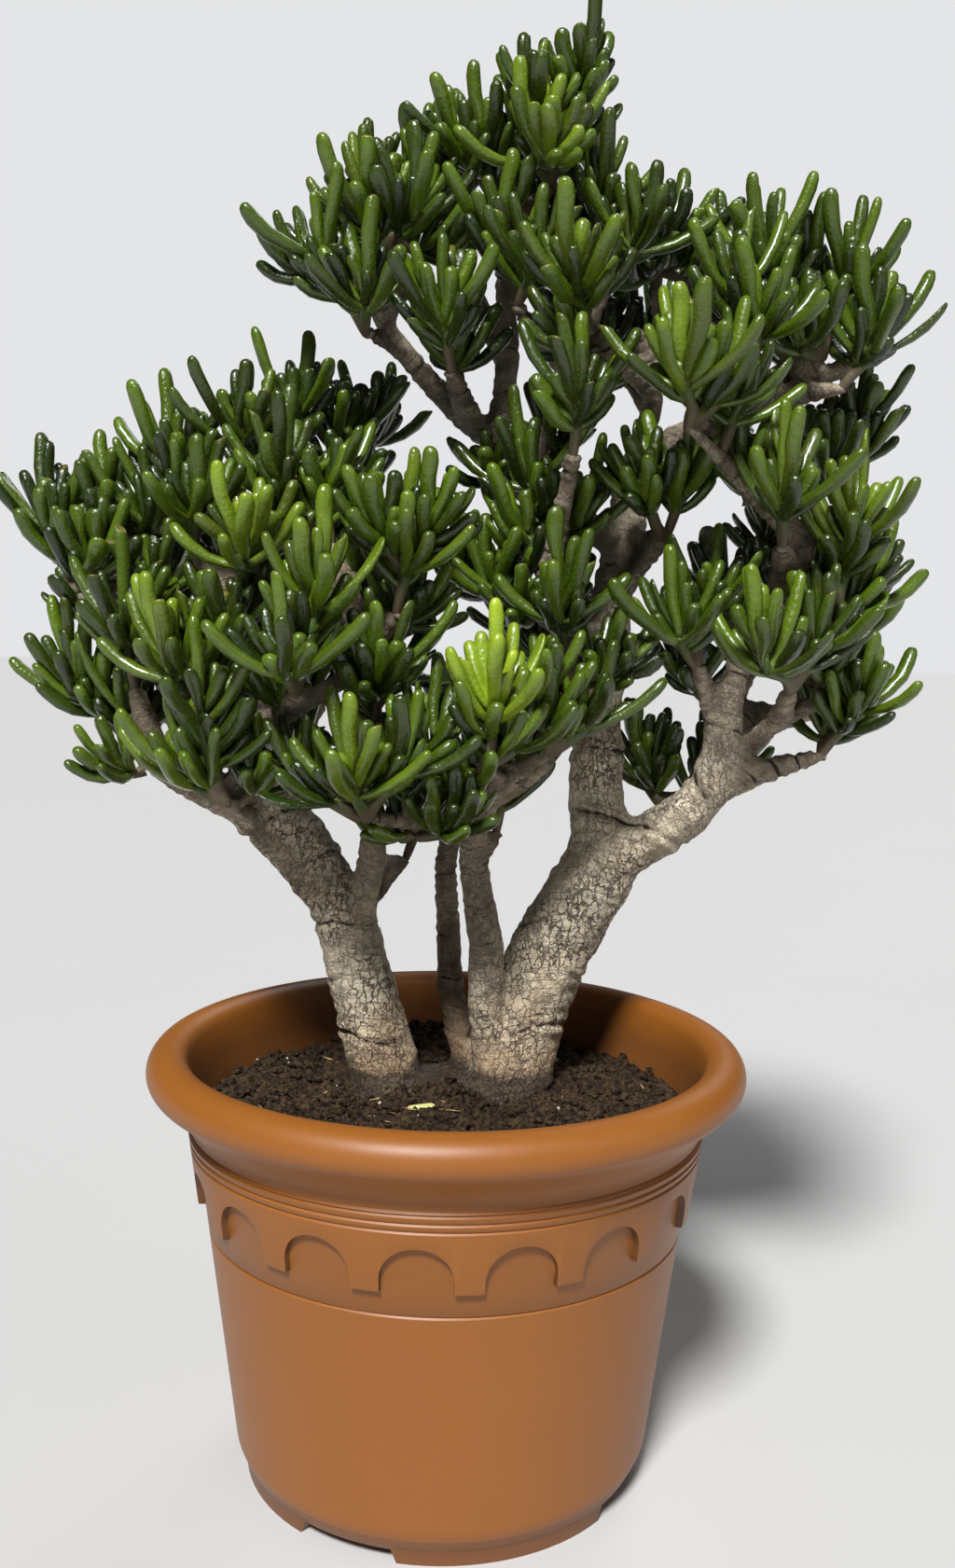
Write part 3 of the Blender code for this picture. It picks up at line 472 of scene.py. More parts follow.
@dataclass(frozen=True)
class MouldedPlastic(Finish):
    """Satin moulded plastic: faint clouds, scuffs, drips, splashed soil, painted shade in the
    arches.
    """

    body: Colour = (0.250, 0.081, 0.009)
    pale: Colour = (0.280, 0.095, 0.012)
    stain: Colour = (0.150, 0.055, 0.015)
    # A painted shade colour for the side and top walls of the arches' recesses
    relief_shade: Colour = (0.075, 0.026, 0.006)
    scuff: Colour = (0.620, 0.330, 0.130)
    scuffed: float = 0.10
    dripped: float = 0.30
    specked: float = 0.35
    # How much of that painted shade shows on the marked walls
    relief_shaded: float = 0.8
    # How much glossier and how much duller the clouds make it
    gloss_change: Point = (0.05, 0.06)
    dull_scuff: float = 0.18
    # The grain's fineness, strength and depth
    grain_bump: tuple = (900.0, 0.12, 0.0006)
    soil_line: float = 0.238
    splash_depth: float = 0.016
    splashed: float = 0.75
    # What lies inside this radius, which grows with the height by the slope, is the inner wall
    wall_slope: float = 0.127
    wall_inside: float = 0.1195

    def wire(self, graph: Graph, shader: bpy.types.Node) -> dict[str, Any]:
        """Wire the plastic; see Finish.wire."""
        shader.inputs["IOR"].default_value = 1.5
        clouds = graph.effect(Mottle, {"Scale": 9.0, "Contrast": 0.3, "First": self.body,
                                       "Second": self.pale})
        grain = graph.effect(Mottle, {"Scale": 420.0, "Contrast": 0.25,
                                      "First": (0.93, 0.93, 0.93), "Second": (1.0, 1.0, 1.0)})
        drips = graph.effect(Speckle, {"Scale": 46.0, "Size": 0.11})["Mask"]
        specks = graph.effect(Speckle, {"Scale": 190.0, "Size": 0.10})["Mask"]
        scuffs = graph.effect(Streaks, {"Stretch": (1.0, 1.0, 7.0), "Scale": 38.0,
                                        "Cover": 0.32})["Mask"]
        base = graph.mix(1.0, clouds["Color"], grain["Color"], "MULTIPLY")
        base = graph.cover(base, scuffs, self.scuffed, self.scuff)
        base = graph.cover(base, drips, self.dripped, self.stain)
        base = graph.cover(base, specks, self.specked, self.stain)
        base = graph.cover(base, self.splash(graph), self.splashed, self.stain)
        # Painted shade: faces marked "edge" (the arches' side and top walls) are darkened as if in
        # shadow
        base = graph.cover(base, graph.mark("edge"), self.relief_shaded, self.relief_shade)
        less, more = self.gloss_change
        rough = graph.spread(clouds["Mask"], 0.0, 1.0, self.roughness - less,
                             self.roughness + more)
        rough = graph.math("ADD", rough, graph.math("MULTIPLY", scuffs, self.dull_scuff))
        often, strength, depth = self.grain_bump
        relief = graph.bump(graph.noise(graph.places(), often, 3.0), strength, depth)
        return {"Base Color": base, "Roughness": rough, "Normal": relief}

    def splash(self, graph: Graph) -> Any:
        """Soil that has splashed up the inside of the wall.

        Args:
            graph: The material's tree.

        Returns:
            The socket of how much soil there is.
        """
        here = graph.add("ShaderNodeTexCoord").outputs["Object"]
        parts = graph.add("ShaderNodeSeparateXYZ", {0: here}).outputs
        across = graph.add("ShaderNodeVectorMath", {0: here, 1: (1.0, 1.0, 0.0)},
                           operation="MULTIPLY").outputs[0]
        radius = graph.add("ShaderNodeVectorMath", {0: across}, operation="LENGTH").outputs[1]
        lean = graph.math("MULTIPLY", parts["Z"], self.wall_slope)
        inside = graph.math("LESS_THAN", graph.math("SUBTRACT", radius, lean), self.wall_inside)
        low = graph.effect(Settled, {"Level": self.soil_line, "Depth": self.splash_depth})["Mask"]
        return graph.math("MULTIPLY", inside, low)


@dataclass(frozen=True)
class Bark(Finish):
    """Pale bark that has split into plates, with dark ring scars and a brown skin on young wood."""

    pale: Colour = (0.92, 0.82, 0.64)
    grey: Colour = (0.60, 0.50, 0.365)
    young: Colour = (0.520, 0.430, 0.320)
    shade: Colour = (0.150, 0.115, 0.080)
    crack: Colour = (0.030, 0.019, 0.011)
    soil: Colour = (0.022, 0.013, 0.007)
    soil_line: float = 0.230
    soil_depth: float = 0.007
    soiled: float = 0.9
    rust: Colour = (0.45, 0.23, 0.085)
    rust_line: float = 0.255
    rust_depth: float = 0.05
    rusty: float = 0.5
    old_girth: Point = (0.012, 0.030)
    young_split: float = 0.15
    finely_split: float = 0.50
    ring_edge: Point = (0.56, 0.66)
    ringed: float = 0.38
    scar_width: ClassVar[dict[str, float]] = {"old": 0.055, "young": 0.10}
    scarred: float = 1.9
    scar_depth: float = 2.0
    fine_depth: float = 0.35
    ring_depth: float = 0.45
    grains: float = 420.0
    strength: float = 0.9
    depth: float = 0.0020
    ring_places: ClassVar[Colour] = (32.0, 32.0, 32.0)
    rings_to_metre: float = 420.0

    def wire(self, graph: Graph, shader: bpy.types.Node) -> dict[str, Any]:
        """Wire the bark; see Finish.wire."""
        old = graph.spread(graph.mark("girth"), *self.old_girth)
        clouds = graph.effect(Mottle, {"Scale": 34.0, "Contrast": 0.13, "First": self.grey,
                                       "Second": self.pale})
        limbs = graph.effect(Mottle, {"Scale": 60.0, "Contrast": 0.15, "First": self.shade,
                                      "Second": self.young})
        skin = graph.effect(Mottle, {"Scale": 230.0, "Contrast": 0.22, "First": (0.66, 0.64, 0.61),
                                     "Second": (1.10, 1.08, 1.04)})
        plates = graph.effect(Cracks, {"Stretch": (1.0, 1.0, 0.6), "Scale": 200.0,
                                       "Width": 0.10, "Patches": 26.0})
        fine = graph.effect(Cracks, {"Stretch": (0.8, 0.8, 1.2), "Scale": 430.0, "Width": 0.08,
                                     "Patches": 50.0})
        rings = graph.spread(graph.noise(self.along_limb(graph), 1.0, 3.0), *self.ring_edge)
        base = graph.mix(old, limbs["Color"], clouds["Color"])
        base = graph.mix(1.0, base, skin["Color"], "MULTIPLY")
        rust = graph.effect(Settled, {"Level": self.rust_line, "Depth": self.rust_depth})["Mask"]
        base = graph.cover(base, rust, self.rusty, self.rust)
        soil = graph.effect(Settled, {"Level": self.soil_line, "Depth": self.soil_depth})["Mask"]
        base = graph.cover(base, soil, self.soiled, self.soil)
        split = graph.math("MULTIPLY", plates["Mask"],
                           graph.spread(old, 0.0, 1.0, self.young_split, 1.0))
        base = graph.mix(split, base, self.crack)
        base = graph.cover(base, fine["Mask"], self.finely_split, self.crack)
        base = graph.cover(base, rings, self.ringed, self.shade)
        for age, width in self.scar_width.items():
            scar = graph.effect(RingScars, {"Turns": graph.mark(f"{age}_turns"), "Width": width,
                                            "Shown": graph.mark(f"{age}_shown")})["Mask"]
            base = graph.cover(base, scar, self.scarred, self.crack, clamp=True)
            rings = graph.math("ADD", rings, graph.math("MULTIPLY", scar, self.scar_depth))
        height = graph.math("ADD", graph.math("MULTIPLY", plates["Height"], old),
                            graph.math("MULTIPLY", fine["Height"], self.fine_depth))
        height = graph.math("ADD", height, graph.noise(graph.places(), self.grains, 5.0))
        height = graph.math("SUBTRACT", height, graph.math("MULTIPLY", rings, self.ring_depth))
        return {"Base Color": base, "Normal": graph.bump(height, self.strength, self.depth)}

    def along_limb(self, graph: Graph) -> Any:
        """Places that change fast along a limb and slowly round it, for the rings of its skin.

        Args:
            graph: The material's tree.

        Returns:
            The socket of the places.
        """
        reach = graph.math("MULTIPLY", graph.mark("reach"), self.rings_to_metre)
        along = graph.add("ShaderNodeCombineXYZ", {"Z": reach}).outputs[0]
        return graph.add("ShaderNodeVectorMath", {0: graph.places(self.ring_places), 1: along},
                         operation="ADD").outputs[0]


@dataclass(frozen=True)
class LeafSkin(Finish):
    """Glossy green skin, yellower on young leaves, with pale dots and a pale foot."""

    deep: Colour = (0.008, 0.018, 0.0010)
    green: Colour = (0.082, 0.138, 0.004)
    young: Colour = (0.330, 0.460, 0.020)
    foot: Colour = (0.130, 0.170, 0.035)
    dot: Colour = (0.300, 0.380, 0.150)
    end: Colour = (0.300, 0.220, 0.060)
    glow: Colour = (0.6, 1.0, 0.12)
    glow_share: float = 0.05
    glow_reach: float = 0.004
    coat: float = 0.45
    coat_roughness: float = 0.10
    # From where to where along the leaf a colour fades in, and from how much to how much
    foot_fade: ClassVar[tuple] = (0.20, 0.0, 0.0, 0.75)
    end_fade: ClassVar[tuple] = (0.960, 0.995, 0.0, 0.6)
    dotted: float = 0.28
    # How much glossier and how much duller its wet and dry spots are
    gloss_change: Point = (0.08, 0.12)
    grains: float = 480.0
    dot_height: float = 0.3
    strength: float = 0.6
    depth: float = 0.0011

    def wire(self, graph: Graph, shader: bpy.types.Node) -> dict[str, Any]:
        """Wire the skin; see Finish.wire."""
        shader.inputs["IOR"].default_value = 1.46
        shader.inputs["Subsurface Weight"].default_value = self.glow_share
        shader.inputs["Subsurface Radius"].default_value = self.glow
        shader.inputs["Subsurface Scale"].default_value = self.glow_reach
        shader.inputs["Coat Weight"].default_value = self.coat
        shader.inputs["Coat Roughness"].default_value = self.coat_roughness
        along = graph.mark("along")
        clouds = graph.effect(Mottle, {"Scale": 75.0, "Contrast": 0.2,
                                       "First": (0.72, 0.76, 0.72), "Second": (1.15, 1.15, 1.1)})
        base = graph.mix(graph.mark("tint"), self.deep, self.green)
        base = graph.mix(graph.mark("youth"), base, self.young)
        base = graph.mix(1.0, base, clouds["Color"], "MULTIPLY")
        base = graph.mix(graph.spread(along, *self.foot_fade), base, self.foot)
        base = graph.mix(graph.spread(along, *self.end_fade), base, self.end)
        dots = graph.effect(Speckle, {"Scale": 950.0, "Size": 0.22})["Mask"]
        base = graph.cover(base, dots, self.dotted, self.dot)
        wet = graph.effect(Mottle, {"Scale": 260.0, "Contrast": 0.2})["Mask"]
        less, more = self.gloss_change
        rough = graph.spread(wet, 0.0, 1.0, self.roughness - less, self.roughness + more)
        height = graph.math("ADD", graph.noise(graph.places(), self.grains, 3.0),
                            graph.math("MULTIPLY", dots, self.dot_height))
        relief = graph.bump(height, self.strength, self.depth)
        return {"Base Color": base, "Roughness": rough, "Normal": relief}


@dataclass(frozen=True)
class StemSkin(Finish):
    """The skin of a green shoot, which turns to brown bark towards its foot."""

    green: Colour = (0.060, 0.100, 0.022)
    brown: Colour = (0.115, 0.085, 0.050)
    scar: Colour = (0.060, 0.042, 0.025)
    ragged: ClassVar[tuple] = (0.3, 0.7, -0.25, 0.25)
    turn_brown: Point = (0.25, 0.6)
    scarred: float = 0.5
    strength: float = 0.4
    depth: float = 0.0007

    def wire(self, graph: Graph, shader: bpy.types.Node) -> dict[str, Any]:
        """Wire the skin; see Finish.wire."""
        along = graph.mark("along")
        clouds = graph.noise(graph.places(), 200.0)
        ragged = graph.math("ADD", along, graph.spread(clouds, *self.ragged))
        base = graph.mix(graph.spread(ragged, *self.turn_brown), self.brown, self.green)
        skin = graph.effect(Mottle, {"Scale": 260.0, "Contrast": 0.25,
                                     "First": (0.7, 0.7, 0.7), "Second": (1.15, 1.15, 1.1)})
        base = graph.mix(1.0, base, skin["Color"], "MULTIPLY")
        rings = graph.effect(Streaks, {"Stretch": (0.4, 0.4, 2.6), "Scale": 190.0,
                                       "Cover": 0.4})["Mask"]
        base = graph.cover(base, rings, self.scarred, self.scar)
        height = graph.math("SUBTRACT", skin["Mask"], rings)
        return {"Base Color": base, "Normal": graph.bump(height, self.strength, self.depth)}


@dataclass(frozen=True)
class Crumbly(Finish):
    """Loose matter such as compost, grit or straw: two colours, in clouds and grains."""

    first: Colour = (0.008, 0.005, 0.003)
    second: Colour = (0.068, 0.042, 0.023)
    grain: float = 380.0
    larger: float = 8
    finer: float = 1.5
    strength: float = 0.8
    depth: float = 0.0018
    shine: float = 0.15

    def wire(self, graph: Graph, shader: bpy.types.Node) -> dict[str, Any]:
        """Wire the matter; see Finish.wire."""
        shader.inputs["Specular IOR Level"].default_value = self.shine
        grains = graph.effect(Mottle, {"Scale": self.grain, "Contrast": 0.11,
                                       "First": self.first, "Second": self.second})
        clouds = graph.effect(Mottle, {"Scale": self.grain / self.larger, "Contrast": 0.25,
                                       "First": (0.42, 0.42, 0.42), "Second": (1.3, 1.3, 1.3)})
        base = graph.mix(1.0, grains["Color"], clouds["Color"], "MULTIPLY")
        height = graph.noise(graph.places(), self.grain * self.finer, 5.0)
        return {"Base Color": base, "Normal": graph.bump(height, self.strength, self.depth)}


@dataclass(frozen=True)
class PaleFloor(Finish):
    """A plain pale floor."""

    tone: Colour = (0.50, 0.50, 0.495)
    other: Colour = (0.52, 0.52, 0.515)

    def wire(self, graph: Graph, shader: bpy.types.Node) -> dict[str, Any]:
        """Wire the floor; see Finish.wire."""
        faint = graph.effect(Mottle, {"Scale": 1.5, "Contrast": 0.4, "First": self.tone,
                                      "Second": self.other})
        return {"Base Color": faint["Color"]}


def add_piece(name: str, points: Any, faces: Any, skins: Sequence[bpy.types.Material],
              marks: dict[str, Any] | None = None, smooth: bool = True) -> bpy.types.Object:
    """Make an object from points and faces.

    Args:
        name: The piece's name.
        points: The corners.
        faces: The corners of each face by number.
        skins: The materials.
        marks: A number for each point under each name, which the materials read.
        smooth: Whether it is shaded smooth.

    Returns:
        The object, in the scene.
    """
    mesh = bpy.data.meshes.new(name)
    mesh.from_pydata([tuple(p) for p in points], [], [tuple(f) for f in faces])
    for title, values in (marks or {}).items():
        layer = mesh.attributes.new(title, "FLOAT", "POINT")
        layer.data.foreach_set("value", np.asarray(values, np.float32))
    if smooth:
        mesh.shade_smooth()
    for skin in skins:
        mesh.materials.append(skin)
    piece = bpy.data.objects.new(name, mesh)
    bpy.context.scene.collection.objects.link(piece)
    return piece


def add_to_part(piece: bpy.types.Object, slot: str, *nodes: str) -> bpy.types.Object:
    """Ride a piece on the part's one body and hide the solids that it replaces.

    Args:
        piece: The finished piece.
        slot: Not used.
        *nodes: The solids that the piece replaces.

    Returns:
        The piece.
    """
    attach(piece, "root")
    if nodes:
        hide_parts(*nodes)
    triangles = sum(len(face.vertices) - 2 for face in piece.data.polygons)
    log.info("%s: %d triangles", piece.name, triangles)
    return piece


def evaluated(item: bpy.types.Object) -> bpy.types.Mesh:
    """A new mesh with the object's modifiers applied."""
    bpy.context.view_layer.update()
    graph = bpy.context.evaluated_depsgraph_get()
    return bpy.data.meshes.new_from_object(item.evaluated_get(graph))


def revolve(profile: Sequence[Point], sides: int) -> tuple[list, list]:
    """Turn an outline about the upright axis.

    Args:
        profile: Radius and height of each point, from the axis back to the axis.
        sides: How many sides the turned shape has.

    Returns:
        The points and the faces.
    """
    angles = [math.tau * i / sides for i in range(sides)]
    points = [(0.0, 0.0, profile[0][1])]
    for radius, height in profile[1:-1]:
        points += [(radius * math.cos(a), radius * math.sin(a), height) for a in angles]
    points.append((0.0, 0.0, profile[-1][1]))
    rings = len(profile) - 2
    faces = [(0, 1 + (i + 1) % sides, 1 + i) for i in range(sides)]
    for ring in range(rings - 1):
        low, high = 1 + ring * sides, 1 + (ring + 1) * sides
        faces += [(low + i, low + (i + 1) % sides, high + (i + 1) % sides, high + i)
                  for i in range(sides)]
    last = 1 + (rings - 1) * sides
    faces += [(last + i, last + (i + 1) % sides, len(points) - 1) for i in range(sides)]
    return points, faces


def flowing(points: Sequence[Point], steps: int) -> list[Point]:
    """A smooth line through points.

    Args:
        points: The points that it passes through.
        steps: How many pieces each stretch is cut into.

    Returns:
        The points of the line.
    """
    line = [np.array(p) for p in (points[0], *points, points[-1])]
    made: list[Point] = []
    for a, b, c, d in zip(line, line[1:], line[2:], line[3:]):
        for step in range(steps):
            t = step / steps
            spot = 0.5 * (2 * b + (c - a) * t + (2 * a - 5 * b + 4 * c - d) * t ** 2
                          + (3 * b - a - 3 * c + d) * t ** 3)
            made.append(tuple(spot))
    made.append(tuple(line[-1]))
    return made


@dataclass
class Studio:
    """Pale floor, soft light and the camera."""

    eye: Point | tuple = (0.0, -0.8406, 0.5023)
    forward: tuple = (0.01758, 0.99343, -0.11309)
    right: tuple = (0.99971, -0.01562, 0.01823)
    lens: float = 33.41
    floor_size: float = 30.0
    sky: Colour = (0.97, 0.98, 1.0)
    key: float = 5.4
    key_spread: float = math.radians(12)
    ambient: float = 0.05
    backdrop: float = 0.80
    # Each lamp's name and side, its share of the key's strength and how many times as wide it is
    lamps: ClassVar[tuple] = (("key", (-0.40, -1.55, 1.85), 1.0, 1),
                              ("fill", (1.9, -1.0, 1.2), 0.055, 3),
                              ("back", (0.8, 1.9, 1.9), 0.09, 2))

    def build(self) -> None:
        """Set up the studio."""
        self.build_floor()
        self.build_lights()
        self.build_camera()

    def build_floor(self) -> None:
        """Lay the floor, which isn't part of the object."""
        half = self.floor_size / 2
        corners = [(-half, -half, 0.0), (half, -half, 0.0), (half, half, 0.0), (-half, half, 0.0)]
        floor = add_piece("floor", corners, [(0, 1, 2, 3)],
                          [PaleFloor("pale_floor", 0.7).material()])

    def build_lights(self) -> None:
        """Hang the soft boxes and light the room."""
        for name, place, share, wider in self.lamps:
            self.lamp(name, place, self.key * share, wider * self.key_spread)
        world = bpy.data.worlds.new("room")
        bpy.context.scene.world = world
        world.use_nodes = True
        graph = Graph(world.node_tree)
        graph.tree.nodes.clear()
        seen = graph.add("ShaderNodeLightPath").outputs["Is Camera Ray"]
        strength = graph.spread(seen, 0.0, 1.0, self.ambient, self.backdrop)
        sky = graph.add("ShaderNodeBackground", {"Color": (*self.sky, 1.0), "Strength": strength})
        graph.add("ShaderNodeOutputWorld", {"Surface": sky.outputs[0]})
        bpy.context.scene.view_settings.view_transform = "Standard"

    def lamp(self, name: str, place: tuple, strength: float, spread: float) -> None:
        """Hang one soft light, so far off that it lights the floor evenly.

        Args:
            name: The light's name.
            place: Which side it shines from.
            strength: How bright it is.
            spread: How wide it looks from the plant.
        """
        light = bpy.data.lights.new(name, "SUN")
        light.angle = spread
        light.energy = strength
        lamp = bpy.data.objects.new(name, light)
        lamp.location = place
        lamp.rotation_euler = (-lamp.location).to_track_quat("-Z", "Y").to_euler()
        bpy.context.scene.collection.objects.link(lamp)

    def build_camera(self) -> None:
        """Stand the camera where the photographer stood."""
        data = bpy.data.cameras.new("camera")
        data.lens = self.lens
        camera = bpy.data.objects.new("camera", data)
        forward = Vector(self.forward).normalized()
        right = Vector(self.right)
        right = (right - forward * right.dot(forward)).normalized()
        turned = Matrix((right, right.cross(forward), -forward)).transposed()
        camera.matrix_world = Matrix.Translation(self.eye) @ turned.to_4x4()
        bpy.context.scene.collection.objects.link(camera)
        bpy.context.scene.camera = camera


@dataclass
class Pot:
    """The moulded pot: rolled rim, grooves, a band of arches, feet and drain holes."""

    sides: int = 204
    foot_height: float = 0.007
    base_radius: float = 0.1178
    wall_foot: Point = (0.1236, 0.022)
    wall_head: Point = (0.1462, 0.200)
    thickness: float = 0.003
    floor_top: float = 0.0115
    band: float = 0.1645
    relief: float = 0.0042
    groove: Point = (0.0011, 0.0011)
    groove_levels: tuple = (0.1500, 0.1992, 0.2036, 0.2082)
    rim: tuple = ((0.1504, 0.2105), (0.1512, 0.2150), (0.1565, 0.2222), (0.1650, 0.2292),
                  (0.1722, 0.2350), (0.1748, 0.2412), (0.1736, 0.2478), (0.1692, 0.2530),
                  (0.1620, 0.2553), (0.1560, 0.2538), (0.1518, 0.2494), (0.1490, 0.2400))
    arches: int = 17
    first_arch: float = math.radians(-5.4)
    arch_half: float = 0.0187
    arch_leg: float = 0.007
    feet: int = 4
    first_foot: float = math.radians(19)
    foot_arc: float = math.radians(64)
    foot_depth: float = 0.013
    drains: int = 5
    drain_radius: float = 0.006
    drain_circle: float = 0.075
    drain_sides: int = 24
    drain_past: float = 0.002
    arch_steps: int = 26
    relief_cut: float = 0.004
    skim: float = 0.0001
    clear: float = 0.01
    foot_steps: int = 16
    foot_inset: float = 0.0006
    foot_sunk: float = 0.001
    foot_slope: float = 0.03
    # How far the corners of the base's step and of the wall's foot stand in and up
    base_edge: Point = (0.002, 0.0015)
    step_edge: Point = (0.0012, 0.004)
    step_cuts: int = 4
    rim_cuts: int = 5
    plain_heights: tuple = (0.0235, 0.05, 0.08, 0.11, 0.14)
    # How high the band's lower edge slopes, and where it is level again
    ledge: Point = (0.0003, 0.0010)
    floor_round: float = 0.003
    inner_height: float = 0.1
    underside: float = 0.06
    edge: float = 0.0005
    edge_angle: float = math.radians(50)
    crease_angle: float = math.radians(42)
    steep: float = 0.8

    def wall(self, height: float) -> float:
        """The plain wall's outer radius at a height."""
        share = (height - self.wall_foot[1]) / (self.wall_head[1] - self.wall_foot[1])
        return self.wall_foot[0] + share * (self.wall_head[0] - self.wall_foot[0])

    def grooved(self, heights: Iterable[float], proud: float = 0.0) -> list[Point]:
        """The outline of fine grooves in the wall at some heights.

        Args:
            heights: The middle of each groove, from low to high.
            proud: How far the wall stands out there.

        Returns:
            Radius and height of each corner.
        """
        deep, half = self.groove
        made = []
        for height in heights:
            made += [(self.wall(height - half) + proud, height - half),
                     (self.wall(height) + proud - deep, height),
                     (self.wall(height + half) + proud, height + half)]
        return made

    def profile(self) -> list[Point]:
        """The pot's outline, from the middle of its underside to the middle of its floor.

        Returns:
            Radius and height of each point.
        """
        low = self.band
        inner = self.wall(self.rim[1][1]) - self.thickness
        turned = flowing([(self.base_radius - self.base_edge[0], self.foot_height),
                          (self.base_radius, self.foot_height + self.base_edge[1]),
                          (self.wall_foot[0] - self.step_edge[0],
                           self.wall_foot[1] - self.step_edge[1]),
                          (self.wall_foot[0], self.wall_foot[1])], self.step_cuts)
        plain = [(self.wall(height), height) for height in self.plain_heights]
        slope, shelf = self.ledge
        outer = [*turned, *plain, *self.grooved(self.groove_levels[:1]), (self.wall(low), low),
                 (self.wall(low) + self.relief - slope, low + slope),
                 (self.wall(low) + self.relief, low + shelf),
                 *self.grooved(self.groove_levels[1:], self.relief)]
        corner = self.wall(self.floor_top) - self.thickness
        inside = [(inner, self.rim[1][1]),
                  (self.wall(self.inner_height) - self.thickness, self.inner_height),
                  (corner, self.floor_top + self.floor_round),
                  (corner - self.floor_round, self.floor_top)]
        return [(0.0, self.foot_height), (self.underside, self.foot_height), *outer,
                *flowing(self.rim, self.rim_cuts), *inside, (0.0, self.floor_top)]

    def block(self, rings: Sequence[Sequence[Vector]], name: str) -> bpy.types.Object:
        """Skin a closed block from rings of corners.

        Args:
            rings: The rings, each with as many corners.
            name: The block's name.

        Returns:
            The block.
        """
        count = len(rings[0])
        points = [corner for ring in rings for corner in ring]
        faces = [tuple(reversed(range(count))), tuple(range(len(points) - count, len(points)))]
        for start in range(0, len(points) - count, count):
            faces += [(start + i, start + (i + 1) % count, start + count + (i + 1) % count,
                       start + count + i) for i in range(count)]
        block = add_piece(name, points, faces, [], smooth=False)
        bm = bmesh.new()
        bm.from_mesh(block.data)
        bmesh.ops.recalc_face_normals(bm, faces=bm.faces)
        bm.to_mesh(block.data)
        bm.free()
        return block

    def arch(self, number: int) -> bpy.types.Object:
        """A curved block that clears one arch down to the plain wall.

        Args:
            number: Which arch it is.

        Returns:
            The block.
        """
        middle = self.first_arch + math.tau * number / self.arches - math.pi / 2
        low = self.band - self.relief_cut
        rings = []
        for step in range(self.arch_steps + 1):
            turn = math.pi * step / self.arch_steps
            top = self.band + self.arch_leg + self.arch_half * math.sin(turn)
            angle = middle - self.arch_half * math.cos(turn) / self.wall(self.band)
            side = Vector((math.cos(angle), math.sin(angle), 0.0))
            rings.append([side * (self.wall(height) + proud) + UP * height for height, proud in
                          ((low, self.skim), (low, self.clear), (top, self.clear),
                           (top, self.skim))])
        return self.block(rings, f"arch_{number}")

    def foot(self, number: int) -> bpy.types.Object:
        """One wide foot with sloping ends.

        Args:
            number: Which foot it is.

        Returns:
            The foot.
        """
        middle = self.first_foot + math.tau * number / self.feet - math.pi / 2
        outer = self.base_radius - self.foot_inset
        rings = []
        for step in range(self.foot_steps + 1):
            share = 2.0 * step / self.foot_steps - 1.0
            low = middle + share * (self.foot_arc / 2 - self.foot_slope)
            high = middle + share * self.foot_arc / 2
            low_side = Vector((math.cos(low), math.sin(low), 0.0))
            high_side = Vector((math.cos(high), math.sin(high), 0.0))
            top = UP * (self.foot_height + self.foot_sunk)
            rings.append([low_side * (outer - self.foot_depth), low_side * outer,
                          high_side * outer + top, high_side * (outer - self.foot_depth) + top])
        return self.block(rings, f"foot_{number}")

    def drain(self, number: int) -> bpy.types.Object:
        """A plug that opens one drain hole.

        Args:
            number: Which hole it is.

        Returns:
            The plug.
        """
        turn = math.tau * (number + 0.5) / self.drains
        middle = Vector((math.cos(turn), math.sin(turn), 0.0)) * self.drain_circle
        spokes = [Vector((math.cos(a), math.sin(a), 0.0)) * self.drain_radius
                  for a in (math.tau * i / self.drain_sides for i in range(self.drain_sides))]
        rings = [[middle + spoke + UP * height for spoke in spokes] for height in
                 (self.foot_height - self.drain_past, self.floor_top + self.drain_past)]
        return self.block(rings, f"drain_{number}")

    def combine(self, pot: bpy.types.Object, others: list[bpy.types.Object],
                operation: str) -> None:
        """Join blocks to the pot, or cut them out of it, and remove them.

        Args:
            pot: The pot.
            others: The blocks.
            operation: Blender's name for what is done.
        """
        group = bpy.data.collections.new("blocks")
        bpy.context.scene.collection.children.link(group)
        for other in others:
            bpy.context.scene.collection.objects.unlink(other)
            group.objects.link(other)
        joint = pot.modifiers.new("combine", "BOOLEAN")
        joint.operation = operation
        joint.operand_type = "COLLECTION"
        joint.collection = group
        joint.solver = "EXACT"
        mesh = evaluated(pot)
        pot.modifiers.remove(joint)
        pot.data = mesh
        for other in others:
            bpy.data.objects.remove(other, do_unlink=True)
        bpy.data.collections.remove(group)

    def build(self) -> None:
        """Build the pot and dress it."""
        points, faces = revolve(self.profile(), self.sides)
        plastic = MouldedPlastic("pot_plastic", 0.45).material()
        pot = add_piece("pot_shell", points, faces, [plastic])
        self.combine(pot, [self.foot(i) for i in range(self.feet)], "UNION")
        self.combine(pot, [self.arch(i) for i in range(self.arches)]
                     + [self.drain(i) for i in range(self.drains)], "DIFFERENCE")
        round_off = pot.modifiers.new("round_off", "BEVEL")
        round_off.width = self.edge
        round_off.segments = 2
        round_off.limit_method = "ANGLE"
        round_off.angle_limit = self.edge_angle
        mesh = evaluated(pot)
        pot.modifiers.remove(round_off)
        pot.data = mesh
        pot.data.materials.clear()
        pot.data.materials.append(plastic)
        pot.data.shade_smooth()
        pot.data.set_sharp_from_angle(angle=self.crease_angle)
        self.mark_shaded_relief(pot.data)
        add_to_part(pot, "pot_plastic", "pot")

    def mark_shaded_relief(self, mesh: bpy.types.Mesh) -> None:
        """Mark the faces of the arches' edge walls, where shade is painted on the plastic.

        Args:
            mesh: The pot's mesh.
        """
